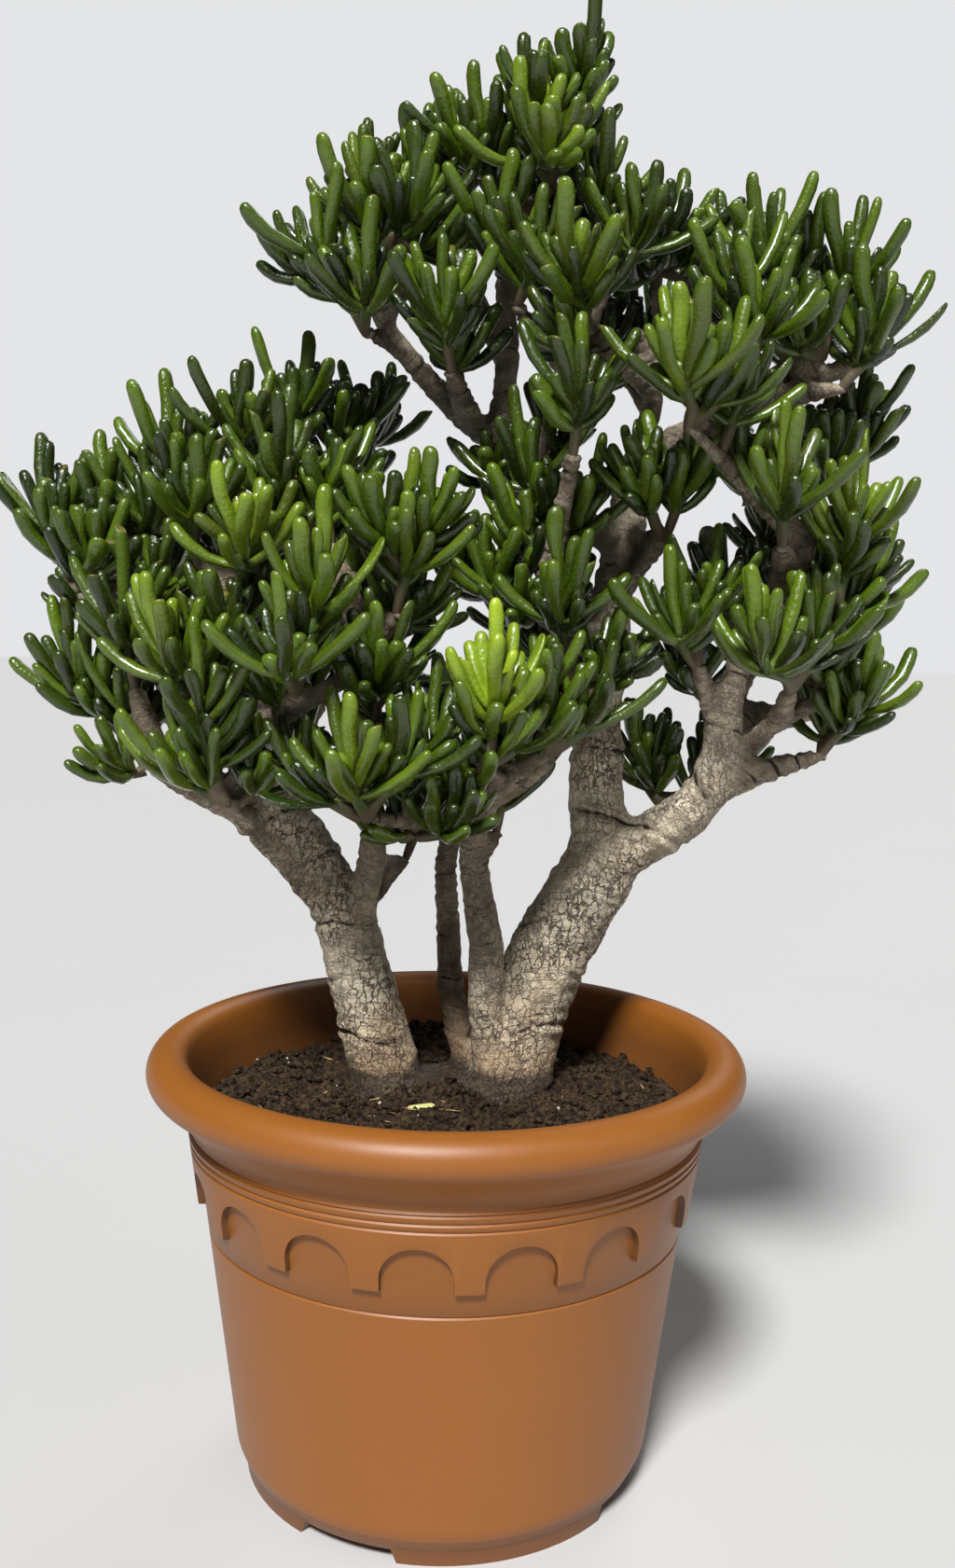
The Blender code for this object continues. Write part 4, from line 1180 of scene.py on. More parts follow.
        # The "edge" mark says where the painted shade of the recesses goes
        marks = mesh.attributes.new("edge", "FLOAT", "FACE")
        top = self.band + self.arch_leg + self.arch_half + self.relief
        for face, mark in zip(mesh.polygons, marks.data):
            out = Vector((face.center.x, face.center.y, 0.0))
            on_wall = out.length > self.wall(face.center.z) - self.relief
            raised = self.band - self.relief < face.center.z < top
            mark.value = float(on_wall and raised
                               and abs(face.normal.dot(out.normalized())) < self.steep)


@dataclass(frozen=True)
class Bits:
    """Rough bits that lie on the compost, of compost where they have no finish of their own."""

    name: str
    count: int
    sizes: Point
    form: Colour
    lean: float
    finish: Crumbly | None = None


@dataclass
class Soil:
    """Crumbly compost with grit and straw on it."""

    level: float = 0.2165
    edge_level: float = 0.214
    radius: float = 0.1446
    # The place, height and spread of each mound
    mounds: tuple = (((-0.012, 0.100), 0.018, 0.026), ((-0.006, -0.004), 0.011, 0.021))
    # How high they are, and how many there are to the metre
    lump: Point = (0.0042, 55.0)
    clod: Point = (0.0036, 105.0)
    speck: Point = (0.0012, 420.0)
    tidy_edge: float = 0.006
    depth: float = 0.02
    taper: float = 0.002
    clear_of_wall: float = 0.004
    rings: int = 64
    sides: int = 220
    closer_rings: float = 0.8
    # The lumps' smoothness, how much finer each layer is, and how many layers there are
    lump_layers: tuple = (0.6, 2.3, 5)
    lump_slice: float = 0.3
    speck_slice: float = 0.7
    mostly_small: float = 2.5
    proud: float = 0.35
    # How uneven a bit is, how finely, and how much the bits differ
    rough: tuple = (0.75, 1.9, 900.0)
    bits: ClassVar[tuple[Bits, ...]] = (
        Bits("crumbs", 3200, (0.0006, 0.0042), (1.0, 0.8, 0.62), 0.4),
        Bits("grit", 40, (0.0007, 0.0014), (0.8, 0.9, 0.7), 0.0,
             Crumbly("grit", 0.8, (0.62, 0.60, 0.55), (0.80, 0.78, 0.74))),
        Bits("straw", 110, (0.0030, 0.0095), (1.0, 0.075, 0.06), 0.30,
             Crumbly("straw", 0.7, (0.34, 0.24, 0.11), (0.55, 0.43, 0.22))))
    draw: random.Random = field(default_factory=lambda: random.Random(SEED))

    def height(self, x: float, y: float) -> float:
        """Height of the compost's top at a place.

        Args:
            x: The place to the right.
            y: The place to the back.

        Returns:
            The height.
        """
        mounds = sum(rise * math.exp(-(math.hypot(x - side, y - back) / spread) ** 2)
                     for (side, back), rise, spread in self.mounds)
        high, often = self.lump
        lumps = noise.fractal(Vector((x, y, self.lump_slice)) * often, *self.lump_layers) * high
        high, often = self.clod
        clods = (1.0 - 2.0 * noise.voronoi(Vector((x, y, 0.0)) * often)[0][0]) * high
        high, often = self.speck
        specks = noise.noise(Vector((x, y, self.speck_slice)) * often) * high
        return self.level + mounds + lumps + clods + specks

    def build(self) -> None:
        """Build the compost, its crumbs and what lies on it."""
        compost = Crumbly("compost", 0.95).material()
        self.build_top(compost)
        for bits in self.bits:
            self.scatter(bits, bits.finish.material() if bits.finish else compost)

    def build_top(self, compost: bpy.types.Material) -> None:
        """Build the top as a closed disc with its side.

        Args:
            compost: The material.
        """
        profile = [(0.0, self.level)]
        profile += [(self.radius * (ring / self.rings) ** self.closer_rings, self.level)
                    for ring in range(1, self.rings + 1)]
        low = self.edge_level - self.depth
        profile += [(self.radius - self.taper, low), (0.0, low)]
        points, faces = revolve(profile, self.sides)
        shaped = []
        for x, y, z in points:
            top = z > self.edge_level
            near_wall = min(1.0, max(0.0, (self.radius - math.hypot(x, y)) / self.tidy_edge))
            high = self.edge_level + (self.height(x, y) - self.edge_level) * near_wall
            shaped.append((x, y, high if top else z))
        top = add_piece("compost_top", shaped, [face[::-1] for face in faces], [compost])
        add_to_part(top, "compost", "soil")

    def scatter(self, bits: Bits, skin: bpy.types.Material) -> None:
        """Scatter small rough bits over the top as one piece.

        Args:
            bits: How many there are, their least and greatest half length, their share of it
                along each axis, and how steeply they may lean.
            skin: Their material.
        """
        bm = bmesh.new()
        bmesh.ops.create_icosphere(bm, subdivisions=1, radius=1.0)
        shape = [vert.co.copy() for vert in bm.verts]
        shell = [tuple(vert.index for vert in face.verts) for face in bm.faces]
        bm.free()
        points: list = []
        faces: list = []
        least, most = bits.sizes
        depth, often, apart = self.rough
        for _ in range(bits.count):
            away = (self.radius - self.clear_of_wall) * math.sqrt(self.draw.random())
            turn = self.draw.uniform(0.0, math.tau)
            x, y = away * math.cos(turn), away * math.sin(turn)
            size = least + (most - least) * self.draw.random() ** self.mostly_small
            middle = Vector((x, y, self.height(x, y) + size * bits.form[2] * self.proud))
            spin = (Matrix.Rotation(self.draw.uniform(0, math.tau), 3, "Z")
                    @ Matrix.Rotation(self.draw.uniform(-bits.lean, bits.lean), 3, "Y"))
            start = len(points)
            for corner in shape:
                rough = 1.0 + depth * noise.noise(corner * often + middle * apart)
                local = Vector(corner[i] * bits.form[i] for i in range(3)) * size * rough
                points.append(middle + spin @ local)
            faces += [tuple(start + i for i in face) for face in shell]
        add_to_part(add_piece(bits.name, points, faces, [skin], smooth=False), "compost")


@dataclass
class Wood:
    """Root flare, trunks and boughs: the frame's solid with its bark."""

    grain: float = 0.00215
    buried: float = 0.196
    lump: float = 0.0012
    # How far the rings are apart, their width and their height, on old and on young wood
    old_rings: tuple = (0.036, 0.0024, 0.0013)
    young_rings: tuple = (0.0125, 0.0018, 0.0009)
    # The lumps to the metre, their smoothness, how much finer each layer is, and the layers
    lumps: tuple = (75.0, 0.8, 2.1, 4)
    young_lumps: float = 0.3
    # How far rings stray, as a share of a turn, and how often to the metre
    ring_stray: Point = (0.35, 22.0)
    # The patches of a ring to the metre, and what sets those of each turn apart
    patches: tuple = (28.0, 5.0, 3.7)
    # How much of a ring shows everywhere, and how sharp its patches are
    patch_shown: Point = (0.30, 1.8)
    lip_at: float = 1.7
    thin: float = 0.006
    thick: float = 0.020
    # Where a look through the wood starts, how far it goes, and the thickness if it ends nowhere
    probe: tuple = (0.0008, 0.12, 0.01)
    # From which thickness the bark is old, and over how much more it turns so
    old_from: Point = (0.010, 0.014)
    # How many rounds each evening out takes
    even_girth: int = 12
    gentle: int = 8
    strong: int = 34
    give_back: int = 20
    even_reach: int = 6
    soil_reach: float = 0.004

    def build(self) -> None:
        """Build the wood and dress it."""
        points, faces = self.fine_skin()
        girth = self.girths(points, faces)
        points = self.relaxed(points, faces, girth)
        reach = self.reaches(points, faces)
        marks = {"girth": girth, "reach": reach}
        points = self.barked(points, faces, marks)
        wood = add_piece("bark_wood", points, faces, [Bark("bark", 0.62).material()], marks)
        add_to_part(wood, "bark", "wood")

    def fine_skin(self) -> tuple[np.ndarray, np.ndarray]:
        """Cut the solid off in the soil and skin it finely.

        Returns:
            The points and the four-sided faces.
        """
        bm = bmesh.new()
        bm.from_mesh(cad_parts["wood"].data)
        bmesh.ops.remove_doubles(bm, verts=bm.verts, dist=WELD)
        cut = bmesh.ops.bisect_plane(bm, geom=[*bm.verts, *bm.edges, *bm.faces],
                                     plane_co=(0.0, 0.0, self.buried), plane_no=UP,
                                     clear_inner=True)
        rim = [item for item in cut["geom_cut"] if isinstance(item, bmesh.types.BMEdge)]
        bmesh.ops.holes_fill(bm, edges=rim)
        rough = add_piece("wood_rough", [], [], [])
        bm.to_mesh(rough.data)
        bm.free()
        skin = rough.modifiers.new("skin", "REMESH")
        skin.mode = "VOXEL"
        skin.voxel_size = self.grain
        mesh = evaluated(rough)
        points = np.empty(len(mesh.vertices) * 3)
        mesh.vertices.foreach_get("co", points)
        faces = np.array([tuple(face.vertices) for face in mesh.polygons])
        bpy.data.objects.remove(rough)
        bpy.data.meshes.remove(mesh)
        return points.reshape(-1, 3), faces

    def normals(self, points: np.ndarray, faces: np.ndarray) -> np.ndarray:
        """The outward direction at each point.

        Args:
            points: The points.
            faces: The four-sided faces.

        Returns:
            One unit direction for each point.
        """
        corners = points[faces]
        across = np.cross(corners[:, 2] - corners[:, 0], corners[:, 3] - corners[:, 1])
        total = np.zeros_like(points)
        for corner in range(4):
            np.add.at(total, faces[:, corner], across)
        return total / np.maximum(np.linalg.norm(total, axis=1, keepdims=True), 1e-12)

    def girths(self, points: np.ndarray, faces: np.ndarray) -> np.ndarray:
        """How thick the wood is behind each point, evened out over its neighbours.

        Args:
            points: The points.
            faces: The four-sided faces.

        Returns:
            The thickness at each point.
        """
        tree = BVHTree.FromPolygons(points.tolist(), faces.tolist())
        ways = self.normals(points, faces)
        thickness = np.empty(len(points))
        start, far, unknown = self.probe
        for i, (point, way) in enumerate(zip(points, ways)):
            inward = Vector(-way)
            hit = tree.ray_cast(Vector(point) + inward * start, inward, far)
            thickness[i] = hit[3] if hit[3] is not None else unknown
        return self.averaged(thickness[:, None], faces, self.even_girth)[:, 0]

    def averaged(self, values: np.ndarray, faces: np.ndarray, rounds: int) -> np.ndarray:
        """Even out values over neighbouring points.

        Args:
            values: One row for each point.
            faces: The four-sided faces.
            rounds: How often it is done.

        Returns:
            The evened values.
        """
        ends = np.concatenate([faces[:, [i, (i + 1) % 4]] for i in range(4)])
        count = np.bincount(ends[:, 0], minlength=len(values))[:, None]
        for _ in range(rounds):
            total = np.stack([np.bincount(ends[:, 0], values[ends[:, 1], axis], len(values))
                              for axis in range(values.shape[1])], axis=1)
            values = 0.5 * values + 0.5 * total / np.maximum(count, 1)
        return values

    def relaxed(self, points: np.ndarray, faces: np.ndarray, girth: np.ndarray) -> np.ndarray:
        """Round off the solid's flats and corners, more where it is thick.

        Args:
            points: The points.
            faces: The four-sided faces.
            girth: The thickness at each point.

        Returns:
            The moved points.
        """
        gentle = self.averaged(points, faces, self.gentle)
        strong = self.averaged(gentle, faces, self.strong)
        share = np.clip((girth - self.thin) / (self.thick - self.thin), 0.0, 1.0)[:, None]
        moved = gentle * (1.0 - share) + strong * share
        lost = self.averaged(((points - moved) * self.normals(moved, faces)).sum(
            axis=1, keepdims=True), faces, self.give_back)
        return moved + self.normals(moved, faces) * lost

    def reaches(self, points: np.ndarray, faces: np.ndarray) -> np.ndarray:
        """How far each point is from the soil, measured along the skin.

        Args:
            points: The points.
            faces: The four-sided faces.

        Returns:
            The distance of each point.
        """
        pairs = ((0, 1), (1, 2), (2, 3), (3, 0), (0, 2), (1, 3))
        ends = np.concatenate([faces[:, pair] for pair in pairs])
        spans = np.linalg.norm(points[ends[:, 0]] - points[ends[:, 1]], axis=1)
        steps: list[list] = [[] for _ in points]
        for (first, second), span in zip(ends.tolist(), spans.tolist()):
            steps[first].append((second, span))
            steps[second].append((first, span))
        reach = [math.inf] * len(points)
        lowest = np.nonzero(points[:, 2] < self.buried + self.soil_reach)[0]
        queue = [(0.0, i) for i in lowest.tolist()]
        for _, i in queue:
            reach[i] = 0.0
        while queue:
            far, here = heapq.heappop(queue)
            if far > reach[here]:
                continue
            for there, span in steps[here]:
                if far + span < reach[there]:
                    reach[there] = far + span
                    heapq.heappush(queue, (far + span, there))
        known = np.array(reach)
        known[np.isinf(known)] = 0.0
        return self.averaged(known[:, None], faces, self.even_reach)[:, 0]

    def barked(self, points: np.ndarray, faces: np.ndarray, marks: dict) -> np.ndarray:
        """Give the wood its lumps and the ridges round old leaf scars.

        Args:
            points: The points.
            faces: The four-sided faces.
            marks: How thick the wood is at each point and how far it is from the soil. The
                scars' marks are added to them.

        Returns:
            The moved points.
        """
        rise = np.zeros(len(points))
        for name in ("old_turns", "old_shown", "young_turns", "young_shown"):
            marks[name] = np.zeros(len(points))
        places, *roughness = self.lumps
        stray, stray_places = self.ring_stray
        patch_places, patch_start, patch_step = self.patches
        patch_from, patch_strength = self.patch_shown
        for i, (point, size, far) in enumerate(zip(points, marks["girth"], marks["reach"])):
            here = Vector(point)
            old = min(1.0, max(0.0, (size - self.old_from[0]) / self.old_from[1]))
            lumps = noise.fractal(here * places, *roughness)
            rise[i] = lumps * self.lump * (self.young_lumps + old)
            for age, (step, width, high), share in (("old", self.old_rings, old),
                                                    ("young", self.young_rings, 1.0 - old)):
                turns = far / step + stray * noise.noise(here * stray_places)
                off = (turns - math.floor(turns) - 0.5) * step
                aside = Vector((patch_start, patch_step * math.floor(turns), 0.0))
                patch = noise.noise(here * patch_places + aside)
                shown = share * min(1.0, max(0.0, patch + patch_from) * patch_strength)
                marks[f"{age}_turns"][i] = turns
                marks[f"{age}_shown"][i] = shown
                crease = math.exp(-(off / width) ** 2)
                lips = math.exp(-((abs(off) - self.lip_at * width) / width) ** 2)
                rise[i] += high * (lips - crease) * shown
        return points + self.normals(points, faces) * rise[:, None]


@dataclass
class Leaf:
    """One finger leaf: the line it follows, its size, its end and its colouring."""

    root: Vector
    bend: Vector
    tip: Vector
    size: float
    end: Tip
    tint: float
    youth: float
    roll: float
    # Where the part that needs room starts along the leaf, and how long it is
    outer: ClassVar[Point] = (0.22, 0.78)

    def at(self, share: float) -> Vector:
        """The point of the leaf's line at a share of its length."""
        back = 1.0 - share
        return (self.root * back * back + self.bend * (2.0 * share * back)
                + self.tip * share * share)

    def samples(self, count: int = 6) -> list[Vector]:
        """Points along the outer part of the leaf."""
        first, rest = self.outer
        return [self.at(first + rest * i / (count - 1)) for i in range(count)]


class LeafMesh:
    """Skins leaves and gathers them in one mesh."""

    sides: ClassVar[int] = 10
    half_width: ClassVar[float] = 0.0043
    half_depth: ClassVar[float] = 0.0036
    sway: ClassVar[float] = 0.0014
    sway_turns: ClassVar[float] = 6.5
    look_ahead: ClassVar[float] = 0.02
    # From where along the leaf a spoon is hollow and thin and a cup slants, and by how much
    spoon_hollow: ClassVar[Point] = (0.55, 1.3)
    spoon_thin: ClassVar[Point] = (0.5, 0.7)
    cup_slant: ClassVar[Point] = (0.9, -0.0022)
    shown_end: ClassVar[float] = 0.95
    upright_line: ClassVar[float] = 0.15
    forms: ClassVar[dict[Tip, tuple]] = {
        Tip.FINGER: ((0.0, 0.44), (0.07, 0.58), (0.2, 0.76), (0.4, 0.91), (0.62, 1.0),
                     (0.82, 1.02), (0.92, 0.90), (0.97, 0.67), (0.992, 0.36), (1.0, 0.0)),
        Tip.CUP: ((0.0, 0.40), (0.07, 0.54), (0.2, 0.70), (0.42, 0.88), (0.68, 0.98),
                  (0.88, 0.94), (0.965, 0.86), (0.985, 0.70), (0.972, 0.48), (0.945, 0.0)),
        Tip.SPOON: ((0.0, 0.36), (0.08, 0.46), (0.25, 0.56), (0.45, 0.74), (0.64, 1.02),
                    (0.80, 1.22), (0.91, 1.10), (0.97, 0.78), (0.993, 0.42), (1.0, 0.0)),
    }

    def __init__(self) -> None:
        """Start with no leaves."""
        self.points: list[Vector] = []
        self.faces: list[tuple] = []
        self.marks: dict[str, list[float]] = {"along": [], "tint": [], "youth": []}

    def note(self, point: Vector, along: float, leaf: Leaf) -> int:
        """Add a point with its marks.

        Args:
            point: Where it is.
            along: How far along the leaf it lies.
            leaf: The leaf.

        Returns:
            The point's number.
        """
        self.points.append(point)
        shown = along if leaf.end is Tip.CUP else along * self.shown_end
        for name, value in (("along", shown), ("tint", leaf.tint), ("youth", leaf.youth)):
            self.marks[name].append(value)
        return len(self.points) - 1

    def add(self, leaf: Leaf) -> None:
        """Skin one leaf in the form of its kind."""
        self.skin(leaf, self.forms[leaf.end])

    def skin(self, leaf: Leaf, form: Sequence[Point]) -> None:
        """Skin one leaf.

        Args:
            leaf: The leaf.
            form: How full it is at each share of its length.
        """
        first = self.note(leaf.root, 0.0, leaf)
        whole = (leaf.tip - leaf.root).normalized()
        flat = whole.cross(UP)
        flat = flat if flat.length > self.upright_line else whole.orthogonal()
        flat = flat.normalized()
        flat = Matrix.Rotation(leaf.roll, 3, whole) @ flat
        rings = [self.ring(leaf, share, full, flat) for share, full in form[:-1]]
        last = self.note(leaf.at(form[-1][0]), 1.0, leaf)
        turns = [(i, (i + 1) % self.sides) for i in range(self.sides)]
        self.faces += [(first, rings[0][j], rings[0][i]) for i, j in turns]
        for low, high in zip(rings, rings[1:]):
            self.faces += [(low[i], low[j], high[j], high[i]) for i, j in turns]
        self.faces += [(rings[-1][i], rings[-1][j], last) for i, j in turns]

    def ring(self, leaf: Leaf, share: float, full: float, flat: Vector) -> list[int]:
        """Add one ring of points round a leaf.

        Args:
            leaf: The leaf.
            share: How far along the leaf.
            full: How full the leaf is there.
            flat: The way across the leaf's flat side.

        Returns:
            The numbers of the points.
        """
        ahead = leaf.at(min(1.0, share + self.look_ahead))
        way = (ahead - leaf.at(share - self.look_ahead)).normalized()
        side = (flat - way * flat.dot(way)).normalized()
        over = side.cross(way)
        wide = self.half_width * leaf.size * full
        deep = self.half_depth * leaf.size * min(full, 1.0)
        hollow = 0.0
        if leaf.end is Tip.SPOON:
            hollow = max(0.0, share - self.spoon_hollow[0]) * self.spoon_hollow[1]
            deep *= 1.0 - max(0.0, share - self.spoon_thin[0]) * self.spoon_thin[1]
        wave = math.sin(share * self.sway_turns + leaf.tint * math.tau)
        sway = self.sway * leaf.size * wave
        middle = leaf.at(share) + side * sway * math.sin(math.pi * share)
        numbers = []
        cup_from, cup_slant = self.cup_slant
        for i in range(self.sides):
            turn = math.tau * i / self.sides
            up = math.sin(turn)
            lift = deep * up * (1.0 - hollow * 2.0 * max(0.0, up))
            slanted = leaf.end is Tip.CUP and share >= cup_from
            slant = way * (cup_slant * up) if slanted else Vector()
            numbers.append(self.note(middle + side * wide * math.cos(turn) + over * lift + slant,
                                     share, leaf))
        return numbers


class Room:
    """Where leaves already are, so that new ones find a gap."""

    beside_wood: ClassVar[float] = 0.003

    def __init__(self, wood: BVHTree) -> None:
        """Start with the wood alone.

        Args:
            wood: The skin of the wood.
        """
        self.wood = wood
        self.taken = np.empty((0, 3))

    def add(self, leaf: Leaf) -> None:
        """Note where a leaf lies."""
        self.taken = np.concatenate([self.taken, np.array(leaf.samples())])

    def near(self, middle: Vector, reach: float) -> np.ndarray:
        """The noted points near a place.

        Args:
            middle: The place.
            reach: How far off a point may be.

        Returns:
            The points, one in each row.
        """
        return self.taken[((self.taken - np.array(middle)) ** 2).sum(axis=1) < reach * reach]

    def gap(self, leaf: Leaf, others: np.ndarray) -> float:
        """How far a leaf's line keeps from other leaves and from the wood.

        Args:
            leaf: The leaf.
            others: The noted points near it.

        Returns:
            The smallest distance.
        """
        mine = leaf.samples()
        room = min(self.wood.find_nearest(point)[3] for point in mine) + self.beside_wood
        if len(others):
            apart = np.array(mine)[:, None, :] - others[None, :, :]
            room = min(room, float(np.sqrt((apart ** 2).sum(axis=2)).min()))
        return room


@dataclass
class Head:
    """A head of leaves at the end of a green stem."""

    foot: Vector
    top: Vector
    axis: Vector
    youth: float
    lines: list[tuple[Vector, Vector, Vector]] = field(default_factory=list)
    leaves: list[Leaf] = field(default_factory=list)


class Shoot:
    """One leafy shoot of the frame: its stems, its heads and the leaves that they hold."""

    head_reach: ClassVar[float] = 0.012
    sunk: ClassVar[float] = 0.006
    upright: ClassVar[float] = 0.3
    even_angles: ClassVar[Point] = (0.8, 3.1)
    levels: ClassVar[int] = 2
    brown_reach: ClassVar[float] = 0.035

    def __init__(self, node: str) -> None:
        """Read a shoot.

        Args:
            node: The frame's name for it.
        """
        self.node = node
        self.bm = bmesh.new()
        self.bm.from_mesh(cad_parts[node].data)
        bmesh.ops.remove_doubles(self.bm, verts=self.bm.verts, dist=WELD)
        self.bm.verts.index_update()
        self.lines: list[tuple[Vector, Vector, Vector]] = []
        self.foot = Vector()
        self.heads: list[Head] = []

    def read(self, wood: BVHTree) -> None:
        """Take the leaves off the solid and keep their lines.

        Args:
            wood: The skin of the wood, which the shoot's foot stands on.
        """
        shed, scars = set(), []
        for tip in self.bm.verts:
            high = {edge.other_vert(tip) for edge in tip.link_edges}
            if len(high) != 4:
                continue
            low = self.beyond(high, {tip} | high)
            root = self.beyond(low, high | low)
            if len(low) == 4 and len(root) == 4:
                self.lines.append((middle_of(root), middle_of(low), tip.co.copy()))
                shed |= {tip} | high | low
                scars.append(root)
        bmesh.ops.delete(self.bm, geom=sorted(shed, key=number_of), context="VERTS")
        for root in scars:
            self.close(root)
        bmesh.ops.recalc_face_normals(self.bm, faces=self.bm.faces)
        self.set_foot(wood)
        self.gather_heads()

    def beyond(self, ring: set, known: set) -> set:
        """The corners that a ring leads on to.

        Args:
            ring: The ring's corners.
            known: The corners that don't count.

        Returns:
            The corners.
        """
        return {edge.other_vert(vert) for vert in ring for edge in vert.link_edges} - known

    def close(self, ring: set) -> None:
        """Close the place where a leaf was.

        Args:
            ring: Its four corners.
        """
        order = [min(ring, key=number_of)]
        while len(order) < 4:
            follow = [edge.other_vert(order[-1]) for edge in order[-1].link_edges]
            ahead = [vert for vert in follow if vert in ring and vert not in order]
            if not ahead:
                return
            order.append(ahead[0])
        if self.bm.faces.get(order) is None:
            self.bm.faces.new(order)

    def set_foot(self, wood: BVHTree) -> None:
        """Find the shoot's foot and sink it into the twig that carries it.

        Args:
            wood: The skin of the wood.
        """
        order = sorted(self.bm.verts, key=lambda vert: wood.find_nearest(vert.co)[3])
        base = order[:4]
        self.foot = middle_of(base)
        rest = middle_of(self.bm.verts) - self.foot
        edge = (base[1].co - base[0].co).cross(base[2].co - base[0].co).normalized()
        down = -edge if edge.dot(rest) > 0.0 else edge
        for vert in base:
            vert.co = vert.co + down * self.sunk

    def gather_heads(self) -> None:
        """Sort the leaves into heads by where they grow."""
        groups: list[list[tuple]] = []
        for line in self.lines:
            near = [group for group in groups
                    if any((line[0] - other[0]).length < self.head_reach for other in group)]
            merged = [line, *[other for group in near for other in group]]
            groups = [group for group in groups if group not in near] + [merged]
        for group in groups:
            ways = [(tip - root).normalized() for root, _, tip in group]
            axis = (sum(ways, Vector()) / len(ways) + UP * self.upright).normalized()
            middle = sum((root for root, _, _ in group), Vector()) / len(group)
            highest = max((root - middle).dot(axis) for root, _, _ in group)
            self.heads.append(Head(self.foot, middle + axis * highest, axis, youth_at(middle),
                                   group))

    def stems(self) -> tuple[list, list, list]:
        """Round the stems off.

        Returns:
            Their points, faces and how far each point is from the shoot's foot.
        """
        flat_angle, shape_angle = self.even_angles
        bmesh.ops.join_triangles(self.bm, faces=self.bm.faces, angle_face_threshold=flat_angle,
                                 angle_shape_threshold=shape_angle)
        rough = add_piece("stem_rough", [], [], [])
        self.bm.to_mesh(rough.data)
        smooth = rough.modifiers.new("smooth", "SUBSURF")
        smooth.levels = self.levels
        smooth.render_levels = self.levels
        mesh = evaluated(rough)
        points = [vert.co.copy() for vert in mesh.vertices]
        faces = [tuple(face.vertices) for face in mesh.polygons]
        bpy.data.objects.remove(rough)
        bpy.data.meshes.remove(mesh)
        far = [min(1.0, (point - self.foot).length / self.brown_reach) for point in points]
        return points, faces, far


# Where the yellower heads show on the upright plane, in millimetres, and how young they are
YOUNG_HEADS = ((23, 448, 1.0), (-121, 533, 0.65), (-28, 532, 0.35), (-79, 510, 0.25),
               (-162, 468, 0.35), (-150, 406, 0.25), (-56, 402, 0.25), (65, 690, 0.25),
               (128, 638, 0.35), (189, 567, 0.25), (229, 555, 0.3), (180, 478, 0.2),
               (40, 756, 0.6), (-52, 717, 0.3))
# How far from such a place a head is still younger, and how young every other head is
YOUNG_REACH = 0.026
LEAST_YOUTH = 0.08
# Heads further back than this are only this share as young
BACK_HEADS = (0.02, 0.3)
# Where the side shoots' heads show on that plane, and how far behind it they are, in millimetres
SIDE_SHOOTS = ((-58, 534, -20), (-22, 502, -40), (-170, 515, 0), (-15, 700, 0), (0, 655, 15),
               (65, 652, -32), (162, 634, -55), (130, 472, 50), (176, 560, 105), (0, 450, 86),
               (-150, 440, 60), (103, 582, -30), (-146, 477, -40), (-84, 404, -75),
               (165, 582, -42), (-100, 455, -55), (-48, 445, -50), (-25, 405, -55),
               (-205, 500, 10), (-110, 575, 40), (-60, 575, 40), (-140, 545, 60), (40, 500, -10),
               (20, 520, 40), (60, 540, 40), (205, 520, 0), (205, 600, 20), (100, 690, 20),
               (140, 690, 30), (190, 655, 30), (-90, 690, 20), (-50, 740, 20), (0, 760, 20),
               (60, 720, 40), (60, 600, 30), (20, 580, 30), (95, 470, -20), (40, 420, -30),
               (66, 796, 0), (36, 788, -15), (50, 752, -30), (-45, 548, -70), (-14, 552, -64),
               (-15, 397, -45), (12, 402, -55),
               (-70, 500, 60), (-20, 540, 50), (-180, 440, 20), (-95, 430, 30), (150, 520, 20),
               (215, 480, -20), (240, 530, 10), (150, 600, 40), (80, 640, 40), (30, 700, -10),
               (-30, 374, -50), (5, 380, -60), (-35, 470, -30), (-40, 500, 10), (-10, 432, -60),
               (-200, 545, 20), (-175, 575, 30), (-215, 450, 0), (-120, 500, -20), (-75, 560, -10),
               (-110, 405, -50), (-190, 410, -20), (-130, 420, 40))


def youth_at(place: Vector) -> float:
    """How young and yellow the leaves of a head are, by where it shows from the front.

    Args:
        place: The head's place.

    Returns:
        A share from 0 to 1.
    """
    eye = Vector(Studio.eye)
    seen = eye + (place - eye) * (-eye.y / (place.y - eye.y))
    found = LEAST_YOUTH
    for across, height, youth in YOUNG_HEADS:
        away = (seen - Vector((across * MM, 0.0, height * MM))).length
        found = max(found, youth * max(0.0, 1.0 - (away / YOUNG_REACH) ** 2))
    back_from, back_share = BACK_HEADS
    return found if place.y < back_from else found * back_share


def seen(across: float, height: float, depth: float) -> Vector:
    """The place at a depth that shows at a place of the upright plane through the pot's axis.

    Args:
        across: How far to the right it shows, in millimetres.
        height: How high it shows, in millimetres.
        depth: How far behind the plane it is, in millimetres.

    Returns:
        The place in metres.
    """
    eye = Vector(Studio.eye)
    sight = Vector((across, 0.0, height)) * MM - eye
    return eye + sight * ((depth * MM - eye.y) / -eye.y)


def number_of(vert: bmesh.types.BMVert) -> int:
    """A corner's number, by which a set of corners is taken in the same order in each run."""
    return vert.index


def middle_of(verts: Iterable) -> Vector:
    """The middle of some corners."""
    spots = [vert.co for vert in sorted(verts, key=number_of)]
    return sum(spots, Vector()) / len(spots)


